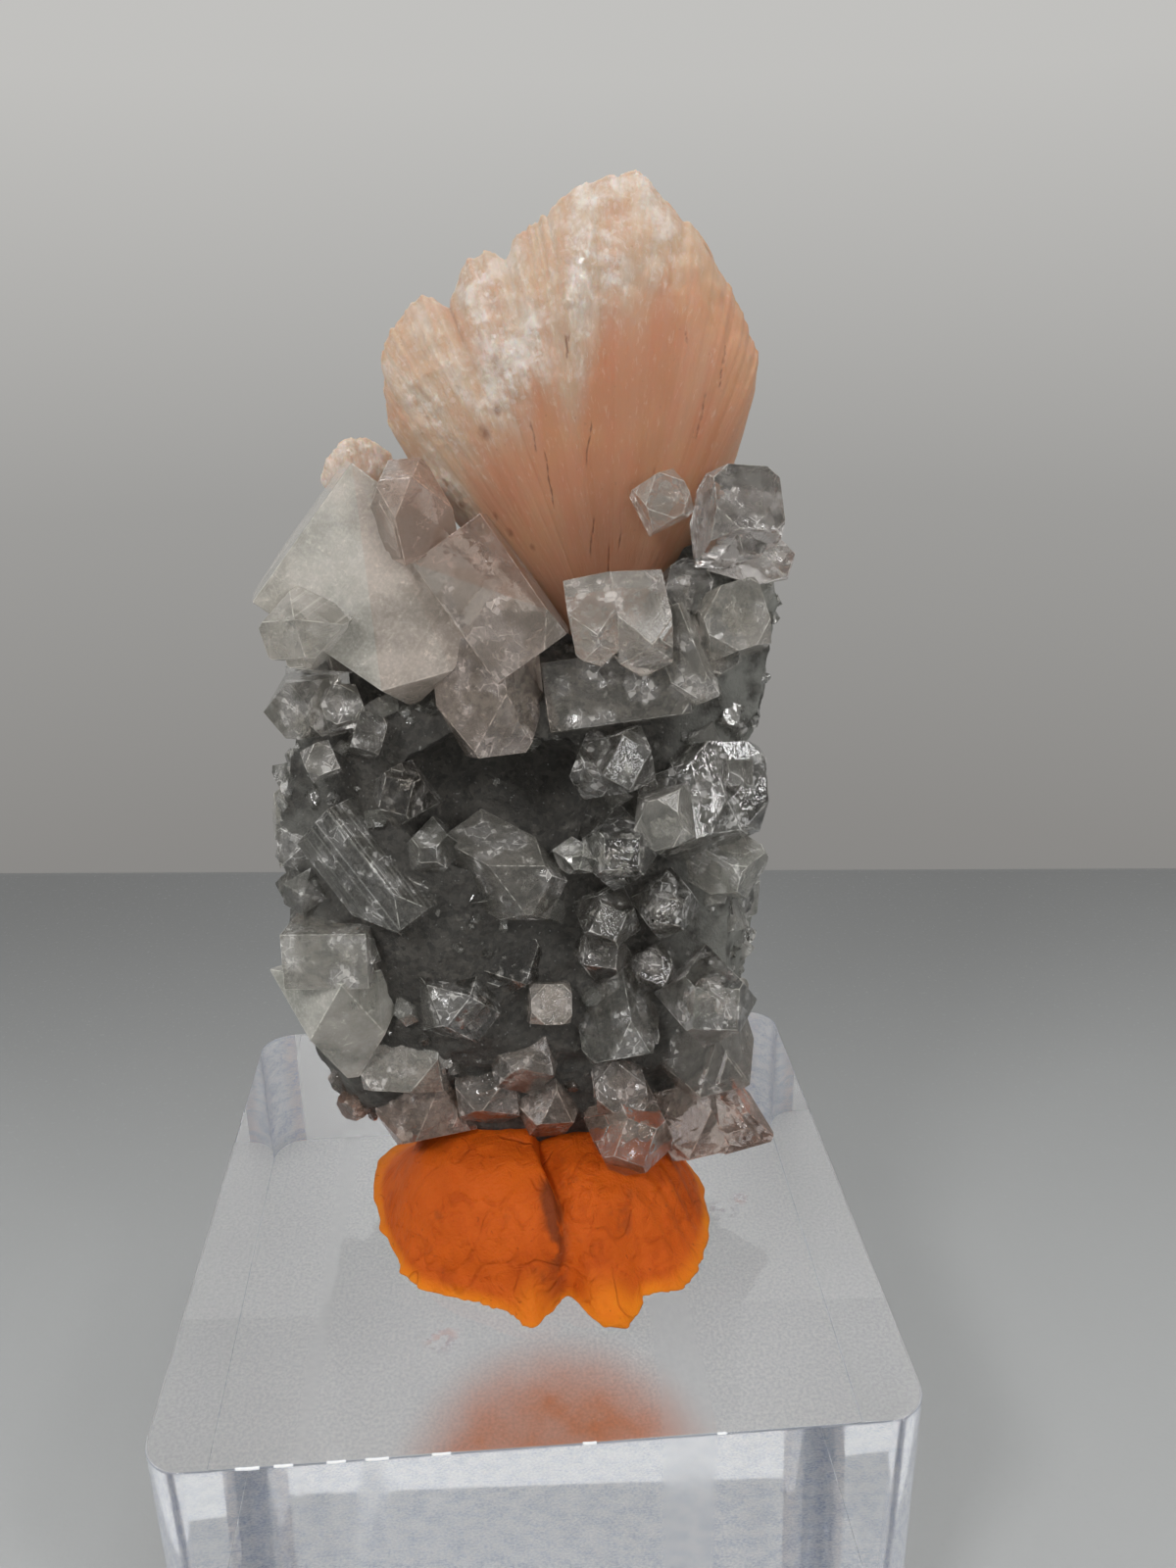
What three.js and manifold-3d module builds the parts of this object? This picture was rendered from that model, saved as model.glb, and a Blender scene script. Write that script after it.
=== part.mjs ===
// Apophyllite crystals with a stilbite sheaf on basalt, stuck with putty on a clear acrylic block.
// Millimetres, +Z up. The origin is the middle of the block's underside and the front faces -Y.

import * as THREE from 'three';
import { ConvexGeometry } from 'three/addons/geometries/ConvexGeometry.js';
import { mergeVertices } from 'three/addons/utils/BufferGeometryUtils.js';
import Module from 'manifold-3d';

const wasm = await Module();
wasm.setup();

// ---- Driving dimensions ----

const GAP = 0.3; // kept between pieces that touch
const BLOCK = { side: 75, height: 40, cornerRadius: 5.5, edgeBevel: 0.4, cornerSteps: 6 };
const PUTTY = { height: 11.5, backHeight: 8, middle: [1.5, -4], lobeX: 20, lobeY: 17, steps: 36,
  creaseX: 2.8, creaseWidth: 1.8, creaseDepth: 2.6 };
const ROCK = { middle: [1, 6.5, 77.5], half: [27, 10, 31], squareness: 5, facets: 50 };
const SHOULDER = { middle: [20, 6, 105], half: [8, 7, 13], squareness: 3, facets: 24 };
const SADDLE = { middle: [-10, 8, 102], half: [14, 8, 8], squareness: 3, facets: 24 };
const FOOT = { middle: [3, 3.5, 56], half: [21, 8, 9], squareness: 3, facets: 26 };
const HOLLOW = { middle: [-2, -5, 93], half: [10, 6, 7], squareness: 2.5, facets: 20 };

// A sheaf opens from its base. Its blades are half a blade's angle wide to each side, and lie in layers.
const SHEAF = { base: [10.5, 4, 103], thickness: 8.2, start: 6, layers: 3, blades: 10, halfBlade: 3.9 };
const BUD = { base: [-9, 10, 107], thickness: 2.4, start: 3, layers: 1, blades: 4, halfBlade: 4.5 };
const BLADE = { outerLayer: 0.62, bulge: 0.9, tipWidth: 0.7, chisel: 1, uneven: 0.02, shorterOutside: 0.12 };
const FAN_STEPS = 14;

const CRYSTAL_SLOPE = 1.7587; // tangent of the angle between the base and pyramid faces of apophyllite
const UNEVEN = { prism: 0.07, pyramid: 0.25, apex: 0.12 }; // how unevenly the faces of a crystal grew
const SIDE_CRYSTALS = { groups: 11, inGroup: 3, turnLow: -22, turnHigh: 202, zLow: 54, zHigh: 103,
  large: 4.2, small: 2.6, apart: 3.6, narrowest: 0.8, standOut: 0.9 };
const BROKEN = [0.87, 0.99]; // how near the basalt's fractures come to its full size
const GOLDEN = 0.618034;
const SMALLEST_PIECE = 3; // mm³, smaller crumbs left by the cuts are dropped
const WELD = 1e-3; // corners of a finished piece that are closer than this are one corner

// The putty's footprint on the block, once round from the left.
const PUTTY_OUTLINE = [
  [-19, 4], [-18, -4], [-15.5, -11], [-12.8, -16], [-8, -18], [-3, -20.5], [-0.5, -22.8], [2, -20],
  [4, -18.8], [6.5, -22.8], [9.4, -23.6], [12, -19.5], [16, -18.5], [18.8, -14], [20.6, -8], [20.4, 1],
  [17, 9], [8, 13], [-7, 13.5], [-16, 10],
];

// The putty's section as parts of its half width and height, up the outside from the middle of its underside.
const PUTTY_PROFILE = [[0, 0], [0.5, 0], [1, 0], [1, 0.05], [0.92, 0.16], [0.87, 0.5], [0.76, 0.8],
  [0.6, 0.97], [0, 1]];

// Rim of each sheaf: degrees from +X in the XZ plane and the distance from its base.
const SHEAF_RIM = [[57, 24], [61, 29], [66, 35], [75, 40], [83, 45.5], [87, 49], [93, 47], [100, 44],
  [106, 42.5], [113, 42], [120, 40.5], [126, 37.5], [131, 31]];
const BUD_RIM = [[98, 19], [104, 21], [110, 21.5], [117, 20.5], [122, 19]];

// Hand-placed apophyllite crystals, from the top down. Each row is the middle of the tip x, y, z, the way
// that the crystal points as degrees in the XZ plane and degrees towards the front, the spin about its
// axis, half its width, depth over width, how blunt its tip is (0 a point, 2.5 square) and its length.
const CRYSTALS = [
  // the big pale crystal at the upper left, and those grown on and beside it
  [-17.6, -1, 107.6, 231, 10, -4, 10, 0.62, 2, 16],
  [2.2, -4.5, 107.4, -56, 12, 0, 4, 1, 2.1, 14],
  [-1.9, -5, 97.4, -86, 16, 30, 4.2, 0.9, 1.2, 12],
  [-9.8, -5, 126, 97, 16, 35, 3.1, 0.9, 1.2, 8],
  [-20.8, -10.5, 111, 200, 65, 35, 2.9, 0.9, 1.3, 6],
  // below the sheaf
  [8.6, -8.2, 108.3, -85, 50, 8, 2.3, 1, 1.1, 8],
  [13, -8.4, 107.6, -82, 48, -12, 2.6, 1, 1.2, 9],
  [19, -6.5, 102.7, -69, 18, 20, 1.9, 1, 1, 10],
  [11.2, -3.5, 99.8, -84, 20, 4, 7, 0.5, 2.1, 7],
  [11, -9, 97.4, 90, 75, 15, 2.9, 1, 1.1, 6],
  [7.2, -7.5, 94.8, 230, 60, 20, 2.1, 1, 1.5, 6],
  // the shoulder to the right of the sheaf
  [23, -6, 122.8, 75, 50, 12, 3.3, 1, 1.8, 8],
  [23.9, -6.5, 119.2, 0, 60, 20, 2.1, 1, 1.5, 6],
  [28.3, -2.5, 115.6, -15, 18, 30, 2.3, 1, 0.9, 8],
  [22.3, -6, 111.3, 90, 66, 15, 3.2, 1, 1.7, 8],
  [14.8, -8.3, 123.4, 90, 72, 25, 2.2, 1, 1.3, 6],
  [17.8, -3, 113.8, 90, 60, 30, 2.5, 1, 1.7, 7],
  [20.3, -5, 107.3, 90, 65, 30, 2.1, 1, 1.7, 7],
  // the right side
  [21.5, -6, 93.8, 75, 58, 12, 4.8, 0.9, 1.7, 10],
  [22.4, -9.5, 96.2, 80, 70, 8, 1.3, 1, 1.8, 5],
  [13.9, -10, 91.2, 175, 62, 25, 2.6, 1, 1.5, 8],
  [19.5, -6.5, 87, -75, 38, 15, 4.2, 1, 1.8, 8],
  [24.6, -6, 82.8, -20, 42, 22, 2.7, 1, 1.6, 9],
  [15.6, -9.5, 81.4, 90, 72, 35, 2.9, 1, 0.9, 7],
  [10.4, -10.5, 88.4, 90, 74, 42, 3.4, 1, 0.8, 8],
  [6.9, -10, 87, 0, 60, 20, 1.3, 1, 1, 4],
  // the middle and the left side
  [3, -10.5, 84, -15, 40, 22, 3.2, 1, 1, 12],
  [-3.8, -6, 81.2, -85, 30, 10, 4, 0.8, 1.9, 6],
  [-9, -10, 89, 95, 72, 40, 2.4, 1, 0.6, 7],
  [-11.6, -8.5, 95, 95, 68, 25, 2.6, 1, 1, 7],
  [-22.2, -5.5, 102.9, 170, 60, 12, 2.8, 1, 1.6, 7],
  [-16.9, -5.5, 103.6, 80, 60, 25, 1.9, 1, 1.6, 5],
  [-14.2, -6.5, 100.8, 60, 60, 10, 1.5, 1.3, 1.8, 5],
  [-19.3, -7, 98.4, 80, 65, 30, 1.6, 1, 1.6, 5],
  [-10.9, -9, 80.9, -50, 24, 25, 3.3, 1, 1.3, 14],
  [-23.9, -3.5, 81.5, 190, 50, 25, 1.9, 1, 1.3, 6],
  [-17.6, -7.5, 77.6, 85, 62, 20, 2.2, 1, 1.6, 6],
  // the lower half
  [-20.2, -7.2, 70.4, -90, 8, 6, 4.4, 0.8, 2.4, 8.5],
  [-19.3, -4.5, 61, -89, 12, 40, 4.9, 1, 0.12, 13],
  [-13.2, -4.5, 57.8, -95, 30, 15, 4.5, 0.9, 1.7, 8],
  [-10.8, -3.5, 50.4, -80, 35, 25, 4.6, 0.9, 1.7, 8],
  [-5.4, -10.8, 69.8, -15, 62, 15, 3.4, 1, 1.1, 9],
  [3, -10, 71, 75, 65, 12, 2.2, 1, 1.6, 7],
  [-1.2, -7.4, 75.6, 95, 58, 20, 3.4, 1, 1.5, 9],
  [10.9, -8, 62.7, -82, 34, 30, 3.4, 1, 1.5, 10],
  [20, -11.5, 70.9, 90, 70, 40, 3.9, 1, 0.9, 10],
  [9.2, -10, 80.6, 90, 70, 20, 2.9, 1, 0.9, 8],
  [8.6, -7.5, 75.6, 90, 62, 35, 2.6, 1, 1.2, 7],
  [13.9, -9, 74.2, 90, 66, 20, 2.1, 1, 1.2, 6],
  [-0.2, -8.2, 60.3, -90, 60, 15, 3.2, 1, 1.3, 9],
  [2.6, -6.5, 52.8, -85, 50, 30, 3, 1, 1.4, 8],
  [-4.2, -6, 54.6, -92, 48, 12, 3.3, 1, 1.3, 9],
  [11.4, -12.5, 55, 90, 66, 22, 4, 1, 0.8, 9],
  [10.3, -8.5, 59.3, 90, 60, 5, 2.8, 1, 1.6, 7],
  [28.4, -5, 48.8, -22, 15, 40, 4.1, 1, 0.2, 13],
  [21.5, -7, 56.5, -75, 40, 30, 4, 1, 1.3, 9],
  [19.8, -7, 48.4, -80, 35, 20, 3.6, 1, 1.3, 8],
  // on the top, behind the big crystal and the sheaf
  [-18, 9, 112, 105, -25, 20, 3.6, 1, 1.4, 10],
  [-2, 13, 112, 85, -30, 35, 3.2, 1, 1.1, 9],
  [24, 10, 118, 60, -35, 15, 3.4, 1, 1.5, 9],
  [13, 15, 111, 90, -50, 30, 2.8, 1, 1.3, 8],
];

// ---- Solids ----

/** A repeatable number from -1 to 1 for a pair of whole numbers. */
function scatter(index, salt) {
  const value = Math.sin(index * 12.9898 + salt * 78.233) * 43758.5453;
  return 2 * (value - Math.floor(value)) - 1;
}

/** The fraction of a whole number times an irrational step, which spreads a series evenly over 0 to 1. */
function spread(index, step) {
  return (index * step) % 1;
}

/** A closed geometry as a solid that can be joined and cut. */
function solidOf(geometry, weld = 1e-4) {
  const bare = geometry.clone();
  bare.deleteAttribute('normal');
  bare.deleteAttribute('uv');
  const merged = mergeVertices(bare, weld);
  return new wasm.Manifold(new wasm.Mesh({
    numProp: 3,
    vertProperties: new Float32Array(merged.attributes.position.array),
    triVerts: new Uint32Array(merged.index.array),
  }));
}

/** All solids joined into one. */
function joined(solids) {
  return solids.reduce((whole, solid) => whole.add(solid));
}

/** Triangles between places as a geometry. */
function geometryOf(places, triangles) {
  const geometry = new THREE.BufferGeometry();
  geometry.setAttribute('position', new THREE.Float32BufferAttribute(places, 3));
  geometry.setIndex([...triangles]);
  return geometry;
}

/** The separate closed bodies of a solid as geometries, without crumbs, from the highest down. */
function bodiesOf(solid) {
  const cut = solid.getMesh();
  const mesh = solidOf(geometryOf(cut.vertProperties, cut.triVerts), WELD).getMesh();
  const owner = Array.from({ length: mesh.vertProperties.length / 3 }, (_, index) => index);
  const root = (index) => {
    while (owner[index] !== index) {
      owner[index] = owner[owner[index]];
      index = owner[index];
    }
    return index;
  };
  for (let at = 0; at < mesh.triVerts.length; at += 3) {
    owner[root(mesh.triVerts[at + 1])] = root(mesh.triVerts[at]);
    owner[root(mesh.triVerts[at + 2])] = root(mesh.triVerts[at]);
  }
  const triangles = new Map();
  for (let at = 0; at < mesh.triVerts.length; at += 3) {
    const body = root(mesh.triVerts[at]);
    if (!triangles.has(body)) triangles.set(body, []);
    triangles.get(body).push(...mesh.triVerts.slice(at, at + 3));
  }
  const bodies = [];
  for (const corners of triangles.values()) {
    const used = [...new Set(corners)];
    const renumbered = new Map(used.map((corner, index) => [corner, index]));
    const places = used.flatMap((corner) => [...mesh.vertProperties.slice(corner * 3, corner * 3 + 3)]);
    const body = geometryOf(places, corners.map((corner) => renumbered.get(corner)));
    if (volumeOf(body) > SMALLEST_PIECE) bodies.push(body);
  }
  return bodies.sort((a, b) => middleHeight(b) - middleHeight(a));
}

function volumeOf(geometry) {
  const corner = [new THREE.Vector3(), new THREE.Vector3(), new THREE.Vector3()];
  let volume = 0;
  for (let at = 0; at < geometry.index.count; at += 3) {
    corner.forEach((place, k) => {
      place.fromBufferAttribute(geometry.attributes.position, geometry.index.getX(at + k));
    });
    volume += corner[0].dot(corner[1].cross(corner[2])) / 6;
  }
  return volume;
}

function middleHeight(geometry) {
  geometry.computeBoundingBox();
  return geometry.boundingBox.getCenter(new THREE.Vector3()).z;
}

/** Moves every vertex of a geometry to the place that the function gives for it. */
function warp(geometry, place) {
  const positions = geometry.attributes.position;
  const vertex = new THREE.Vector3();
  for (let index = 0; index < positions.count; index += 1) {
    const moved = place(vertex.fromBufferAttribute(positions, index));
    positions.setXYZ(index, moved.x, moved.y, moved.z);
  }
  return geometry;
}

// ---- Acrylic block ----

function blockGeometry() {
  const half = BLOCK.side / 2;
  const inner = half - BLOCK.cornerRadius;
  const outline = new THREE.Shape();
  outline.absarc(inner, inner, BLOCK.cornerRadius, 0, Math.PI / 2);
  outline.absarc(-inner, inner, BLOCK.cornerRadius, Math.PI / 2, Math.PI);
  outline.absarc(-inner, -inner, BLOCK.cornerRadius, Math.PI, Math.PI * 1.5);
  outline.absarc(inner, -inner, BLOCK.cornerRadius, Math.PI * 1.5, Math.PI * 2);
  const geometry = new THREE.ExtrudeGeometry(outline, {
    depth: BLOCK.height - 2 * BLOCK.edgeBevel,
    curveSegments: BLOCK.cornerSteps,
    bevelSize: BLOCK.edgeBevel,
    bevelThickness: BLOCK.edgeBevel,
    bevelOffset: -BLOCK.edgeBevel,
    bevelSegments: 1,
  });
  return geometry.translate(0, 0, BLOCK.edgeBevel);
}

// ---- Basalt ----

/** Even directions over a sphere. */
function directions(count) {
  return Array.from({ length: count }, (_, index) => {
    const z = 1 - (2 * index + 1) / count;
    const turn = index * Math.PI * (3 - Math.sqrt(5));
    const reach = Math.sqrt(1 - z * z);
    return new THREE.Vector3(reach * Math.cos(turn), reach * Math.sin(turn), z);
  });
}

/** The point where three planes meet, or null where two of them are nearly parallel. */
function meeting(p, q, r) {
  const cross = new THREE.Vector3().crossVectors(q.normal, r.normal);
  const volume = p.normal.dot(cross);
  if (Math.abs(volume) < 1e-6) return null;
  const point = cross.multiplyScalar(p.distance);
  point.addScaledVector(new THREE.Vector3().crossVectors(r.normal, p.normal), q.distance);
  point.addScaledVector(new THREE.Vector3().crossVectors(p.normal, q.normal), r.distance);
  return point.divideScalar(volume);
}

/** The convex solid inside all the planes, each moved out by the same distance. */
function insideOf(planes, grow, middle) {
  const grown = planes.map(({ normal, distance }) => ({ normal, distance: distance + grow }));
  const corners = [];
  for (let i = 0; i < grown.length; i += 1) {
    for (let j = i + 1; j < grown.length; j += 1) {
      for (let k = j + 1; k < grown.length; k += 1) {
        const point = meeting(grown[i], grown[j], grown[k]);
        const inside = point && grown.every((plane) => plane.normal.dot(point) < plane.distance + 1e-6);
        if (inside && corners.every((corner) => corner.distanceTo(point) > 1e-3)) corners.push(point);
      }
    }
  }
  return new ConvexGeometry(corners).translate(middle.x, middle.y, middle.z);
}

/** The flat fractures of a lump that is a rounded box as a whole. */
function fracturesOf(lump) {
  const [a, b, c] = lump.half;
  const dual = lump.squareness / (lump.squareness - 1);
  return directions(lump.facets).map((normal, index) => {
    const support = ((a * Math.abs(normal.x)) ** dual + (b * Math.abs(normal.y)) ** dual
      + (c * Math.abs(normal.z)) ** dual) ** (1 / dual);
    const broken = THREE.MathUtils.mapLinear(scatter(index, lump.facets), -1, 1, ...BROKEN);
    return { normal, distance: support * broken };
  });
}

function lumpSolid(lump, grow) {
  return solidOf(insideOf(fracturesOf(lump), grow, new THREE.Vector3(...lump.middle)));
}

/** Where a line from a place inside a lump comes out, and the direction that its surface faces there. */
function surfaceOf(lump, from, direction) {
  const middle = new THREE.Vector3(...lump.middle);
  const start = from.clone().sub(middle);
  let nearest = { reach: Infinity };
  for (const { normal, distance } of fracturesOf(lump)) {
    const ahead = normal.dot(direction);
    const reach = (distance - normal.dot(start)) / ahead;
    if (ahead > 0 && reach < nearest.reach) nearest = { reach, normal };
  }
  return { place: from.clone().addScaledVector(direction, nearest.reach), normal: nearest.normal.clone() };
}

function rockSolid(grow = 0) {
  const lumps = [ROCK, SHOULDER, SADDLE, FOOT].map((lump) => lumpSolid(lump, grow));
  return joined(lumps).subtract(lumpSolid(HOLLOW, -grow));
}

// ---- Apophyllite ----

/** One crystal: a square prism with a flat base face, its corners cut by the four pyramid faces. */
function crystalGeometry({ tip, axis, spin, width, depthRatio, blunt, length }, index, grow) {
  const side = new THREE.Vector3(-axis.z, 0, axis.x).normalize();
  const front = new THREE.Vector3().crossVectors(side, axis);
  const u = front.clone().multiplyScalar(Math.cos(spin)).addScaledVector(side, Math.sin(spin));
  const v = side.clone().multiplyScalar(Math.cos(spin)).addScaledVector(front, -Math.sin(spin));
  const planes = [[u, depthRatio], [v, 1], [u.clone().negate(), depthRatio], [v.clone().negate(), 1]]
    .map(([normal, ratio], face) => {
      const uneven = 1 + UNEVEN.prism * scatter(index, face);
      return { normal, distance: width * ratio * uneven };
    });
  const mean = (width * (1 + depthRatio)) / 2;
  const rise = 1 / Math.hypot(1, CRYSTAL_SLOPE);
  [[1, 1], [-1, 1], [-1, -1], [1, -1]].forEach(([su, sv], face) => {
    const outward = u.clone().multiplyScalar(su).addScaledVector(v, sv).multiplyScalar(Math.SQRT1_2);
    const normal = outward.multiplyScalar(CRYSTAL_SLOPE * rise).addScaledVector(axis, rise);
    const apex = mean * (blunt * (1 + UNEVEN.pyramid * scatter(index, face + 4))
      + UNEVEN.apex * scatter(index, face + 8));
    planes.push({ normal, distance: apex * rise });
  });
  planes.push({ normal: axis, distance: 0 });
  planes.push({ normal: axis.clone().negate(), distance: length });
  return insideOf(planes, grow, tip);
}

/** The hand-placed crystals as descriptions. */
function placedCrystals() {
  return CRYSTALS.map(([x, y, z, turn, toward, spin, width, depthRatio, blunt, length]) => {
    const inPlane = Math.cos(THREE.MathUtils.degToRad(toward));
    const angle = THREE.MathUtils.degToRad(turn);
    const away = -Math.sin(THREE.MathUtils.degToRad(toward));
    return {
      tip: new THREE.Vector3(x, y, z),
      axis: new THREE.Vector3(Math.cos(angle) * inPlane, away, Math.sin(angle) * inPlane),
      spin: THREE.MathUtils.degToRad(spin),
      width,
      depthRatio,
      blunt,
      length,
    };
  });
}

/** Groups of crystals grown together on the sides and the back of the rock. */
function sideCrystals() {
  const { groups, inGroup, turnLow, turnHigh, zLow, zHigh } = SIDE_CRYSTALS;
  const { large, small, apart, narrowest, standOut } = SIDE_CRYSTALS;
  return Array.from({ length: groups * inGroup }, (_, index) => {
    const group = Math.floor(index / inGroup);
    const member = index % inGroup;
    const turn = THREE.MathUtils.degToRad(THREE.MathUtils.lerp(turnLow, turnHigh, spread(group + 1, GOLDEN)));
    const climb = THREE.MathUtils.lerp(zLow, zHigh, (group + 0.5) / groups);
    const round = member * 2.4 + group;
    const step = member === 0 ? 0 : apart;
    const [a, b] = ROCK.half;
    const direction = new THREE.Vector3(a * Math.cos(turn), b * Math.sin(turn), 0).normalize();
    const across = new THREE.Vector3(-direction.y, direction.x, 0).multiplyScalar(step * Math.cos(round));
    const from = new THREE.Vector3(ROCK.middle[0], ROCK.middle[1], climb).add(across);
    from.z += step * Math.sin(round);
    const { place, normal } = surfaceOf(ROCK, from, direction);
    const lean = new THREE.Vector3(scatter(index, 21), scatter(index, 22), scatter(index, 23));
    const axis = normal.addScaledVector(lean, 0.5).normalize();
    const back = Math.abs(Math.sin(turn)); // 0 on the left and right sides and 1 on the back
    const share = THREE.MathUtils.lerp(narrowest, 1, back);
    const width = (member === 0 ? large : small) * (1 + 0.25 * scatter(index, 26)) * share;
    const spin = Math.PI * scatter(index, 24);
    const tip = place.addScaledVector(axis, standOut * back * width);
    const blunt = 1.3 + 0.7 * scatter(index, 25);
    return { tip, axis, spin, width, depthRatio: 1, blunt, length: 2.6 * width };
  });
}

function crystalsSolid(crystals, grow = 0) {
  return joined(crystals.map((crystal, index) => solidOf(crystalGeometry(crystal, index, grow))));
}

// ---- Stilbite ----

/** The rim's distance from the sheaf's base at an angle in degrees. */
function rimAt(rim, angle) {
  const after = rim.findIndex(([rimAngle]) => rimAngle >= angle);
  if (after <= 0) return rim[after === 0 ? 0 : rim.length - 1][1];
  const [low, near] = rim[after - 1];
  const [high, far] = rim[after];
  return THREE.MathUtils.mapLinear(angle, low, high, near, far);
}

/** A place in the sheaf from its angle in degrees, distance from the base and depth. */
function inSheaf(sheaf, angle, distance, depth) {
  const turn = THREE.MathUtils.degToRad(angle);
  const [x, y, z] = sheaf.base;
  return new THREE.Vector3(x + distance * Math.cos(turn), y + depth, z + distance * Math.sin(turn));
}

/** The middle of the sheaf: a fan as thick as a lens, under the blades. */
function fanGeometry(sheaf, rim) {
  const low = rim[0][0];
  const high = rim[rim.length - 1][0];
  const profile = [[0, 0], [1, 0], [1, 0.3], [1, 0.6], [1, 0.85], [0.7, 0.97], [0, 1]]
    .map(([x, y]) => new THREE.Vector2(x, y));
  return warp(new THREE.LatheGeometry(profile, FAN_STEPS), (vertex) => {
    const angle = THREE.MathUtils.mapLinear(vertex.x, 1, -1, low, high);
    const distance = THREE.MathUtils.lerp(sheaf.start, 0.93 * rimAt(rim, angle), vertex.y);
    const opening = 0.45 + 0.55 * vertex.y;
    return inSheaf(sheaf, angle, distance, -vertex.z * sheaf.thickness * opening * BLADE.bulge);
  });
}

/** One blade: a tapered slab from the sheaf's base out to the rim, with a chisel tip. */
function bladeGeometry(sheaf, rim, angle, lean, index) {
  const uneven = BLADE.uneven * scatter(index, 31);
  const reach = rimAt(rim, angle) * (1 + uneven - BLADE.shorterOutside * lean * lean);
  const shoulder = reach - BLADE.chisel * (1 + Math.abs(scatter(index, 32)));
  const corners = [];
  for (const [distance, narrow] of [[sheaf.start, 1], [shoulder, 1], [reach, BLADE.tipWidth]]) {
    for (const across of [-1, 1]) {
      for (const through of [-1, 1]) {
        const halfLayer = (BLADE.bulge * narrow) / sheaf.layers;
        const depth = (distance / reach) * sheaf.thickness * (lean + through * halfLayer);
        const bevel = across * narrow + (1 - narrow) * scatter(index, 34);
        corners.push(inSheaf(sheaf, angle + bevel * sheaf.halfBlade, distance, depth));
      }
    }
  }
  return new ConvexGeometry(corners);
}

function sheafSolid(sheaf, rim) {
  const low = rim[0][0];
  const high = rim[rim.length - 1][0];
  const solids = [solidOf(fanGeometry(sheaf, rim))];
  for (let layer = 0; layer < sheaf.layers; layer += 1) {
    const middle = (BLADE.outerLayer * (2 * layer - sheaf.layers + 1)) / Math.max(sheaf.layers - 1, 1);
    const spare = 1 - Math.sqrt(1 - middle * middle);
    for (let blade = 0; blade < sheaf.blades; blade += 1) {
      const index = layer * sheaf.blades + blade;
      const lean = middle + 0.14 * scatter(index, 35);
      const along = (blade + 0.5 + 0.3 * scatter(index, 33)) / sheaf.blades;
      const angle = THREE.MathUtils.lerp(low, high, 0.5 * spare + along * (1 - spare));
      solids.push(solidOf(bladeGeometry(sheaf, rim, angle, lean, index)));
    }
  }
  return joined(solids);
}

// ---- Putty ----

/** Putty pressed under the stone into two lobes, with thin edges smeared on the block. */
function puttyGeometry() {
  const outline = new THREE.CatmullRomCurve3(PUTTY_OUTLINE.map(([x, y]) => new THREE.Vector3(x, y, 0)), true);
  const profile = PUTTY_PROFILE.map(([x, y]) => new THREE.Vector2(x, y));
  const { middle: [middleX, middleY], lobeX, lobeY, creaseX, creaseWidth, creaseDepth } = PUTTY;
  return warp(new THREE.LatheGeometry(profile, PUTTY.steps), (vertex) => {
    const round = (Math.atan2(vertex.x, vertex.z) / (2 * Math.PI) + 1) % 1;
    const edge = outline.getPointAt(round);
    const out = Math.hypot(vertex.x, vertex.z);
    const turn = Math.atan2(edge.y - middleY, edge.x - middleX);
    const smear = out ** 6;
    const x = middleX + out * THREE.MathUtils.lerp(lobeX * Math.cos(turn), edge.x - middleX, smear);
    const y = middleY + out * THREE.MathUtils.lerp(lobeY * Math.sin(turn), edge.y - middleY, smear);
    const back = THREE.MathUtils.smoothstep(y, 0, 12);
    const crease = creaseDepth * Math.exp(-(((x - creaseX) / creaseWidth) ** 2)) * (y < 0 ? 1 : 0.3);
    const height = THREE.MathUtils.lerp(PUTTY.height, PUTTY.backHeight, back) - crease;
    return new THREE.Vector3(x, y, BLOCK.height + GAP + vertex.y * height);
  });
}

// ---- Assembly ----

function material(color, roughness, metalness = 0) {
  return new THREE.MeshStandardMaterial({ color, roughness, metalness });
}

function meshOf(name, geometry, look) {
  const mesh = new THREE.Mesh(geometry, look);
  mesh.name = name;
  return mesh;
}

/** The largest body of a solid as a named mesh. */
function mainMesh(name, solid, look) {
  const bodies = bodiesOf(solid).sort((a, b) => volumeOf(b) - volumeOf(a));
  return meshOf(name, bodies[0], look);
}

const crystals = [...placedCrystals(), ...sideCrystals()];
const grownCrystals = crystalsSolid(crystals, GAP);
const grownRock = rockSolid(GAP);
const sheaf = sheafSolid(SHEAF, SHEAF_RIM).subtract(grownRock).subtract(grownCrystals);
const bud = sheafSolid(BUD, BUD_RIM).subtract(grownRock).subtract(grownCrystals);
const putty = solidOf(puttyGeometry()).subtract(grownRock).subtract(grownCrystals);

const object = new THREE.Group();
object.add(meshOf('acrylic_block', blockGeometry(), material(0xf4f7f8, 0.05)));
object.add(mainMesh('putty', putty, material(0xe8600f, 0.6)));
object.add(mainMesh('basalt_matrix', rockSolid(), material(0x3c403c, 0.85)));
object.add(mainMesh('stilbite_sheaf', sheaf, material(0xe0a583, 0.45)));
object.add(mainMesh('stilbite_bud', bud, material(0xe6cba6, 0.45)));
bodiesOf(crystalsSolid(crystals).subtract(grownRock)).forEach((body, index) => {
  object.add(meshOf(`apophyllite_${String(index + 1).padStart(2, '0')}`, body, material(0xcdd0c8, 0.12)));
});

export default object;
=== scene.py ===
"""Apophyllite crystals with a stilbite sheaf on basalt, stuck with putty on a clear acrylic block."""

import math
from itertools import combinations

import bmesh
import bpy
import numpy as np
from bpy.props import FloatProperty, FloatVectorProperty, PointerProperty
from mathutils import Matrix, Vector


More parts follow.
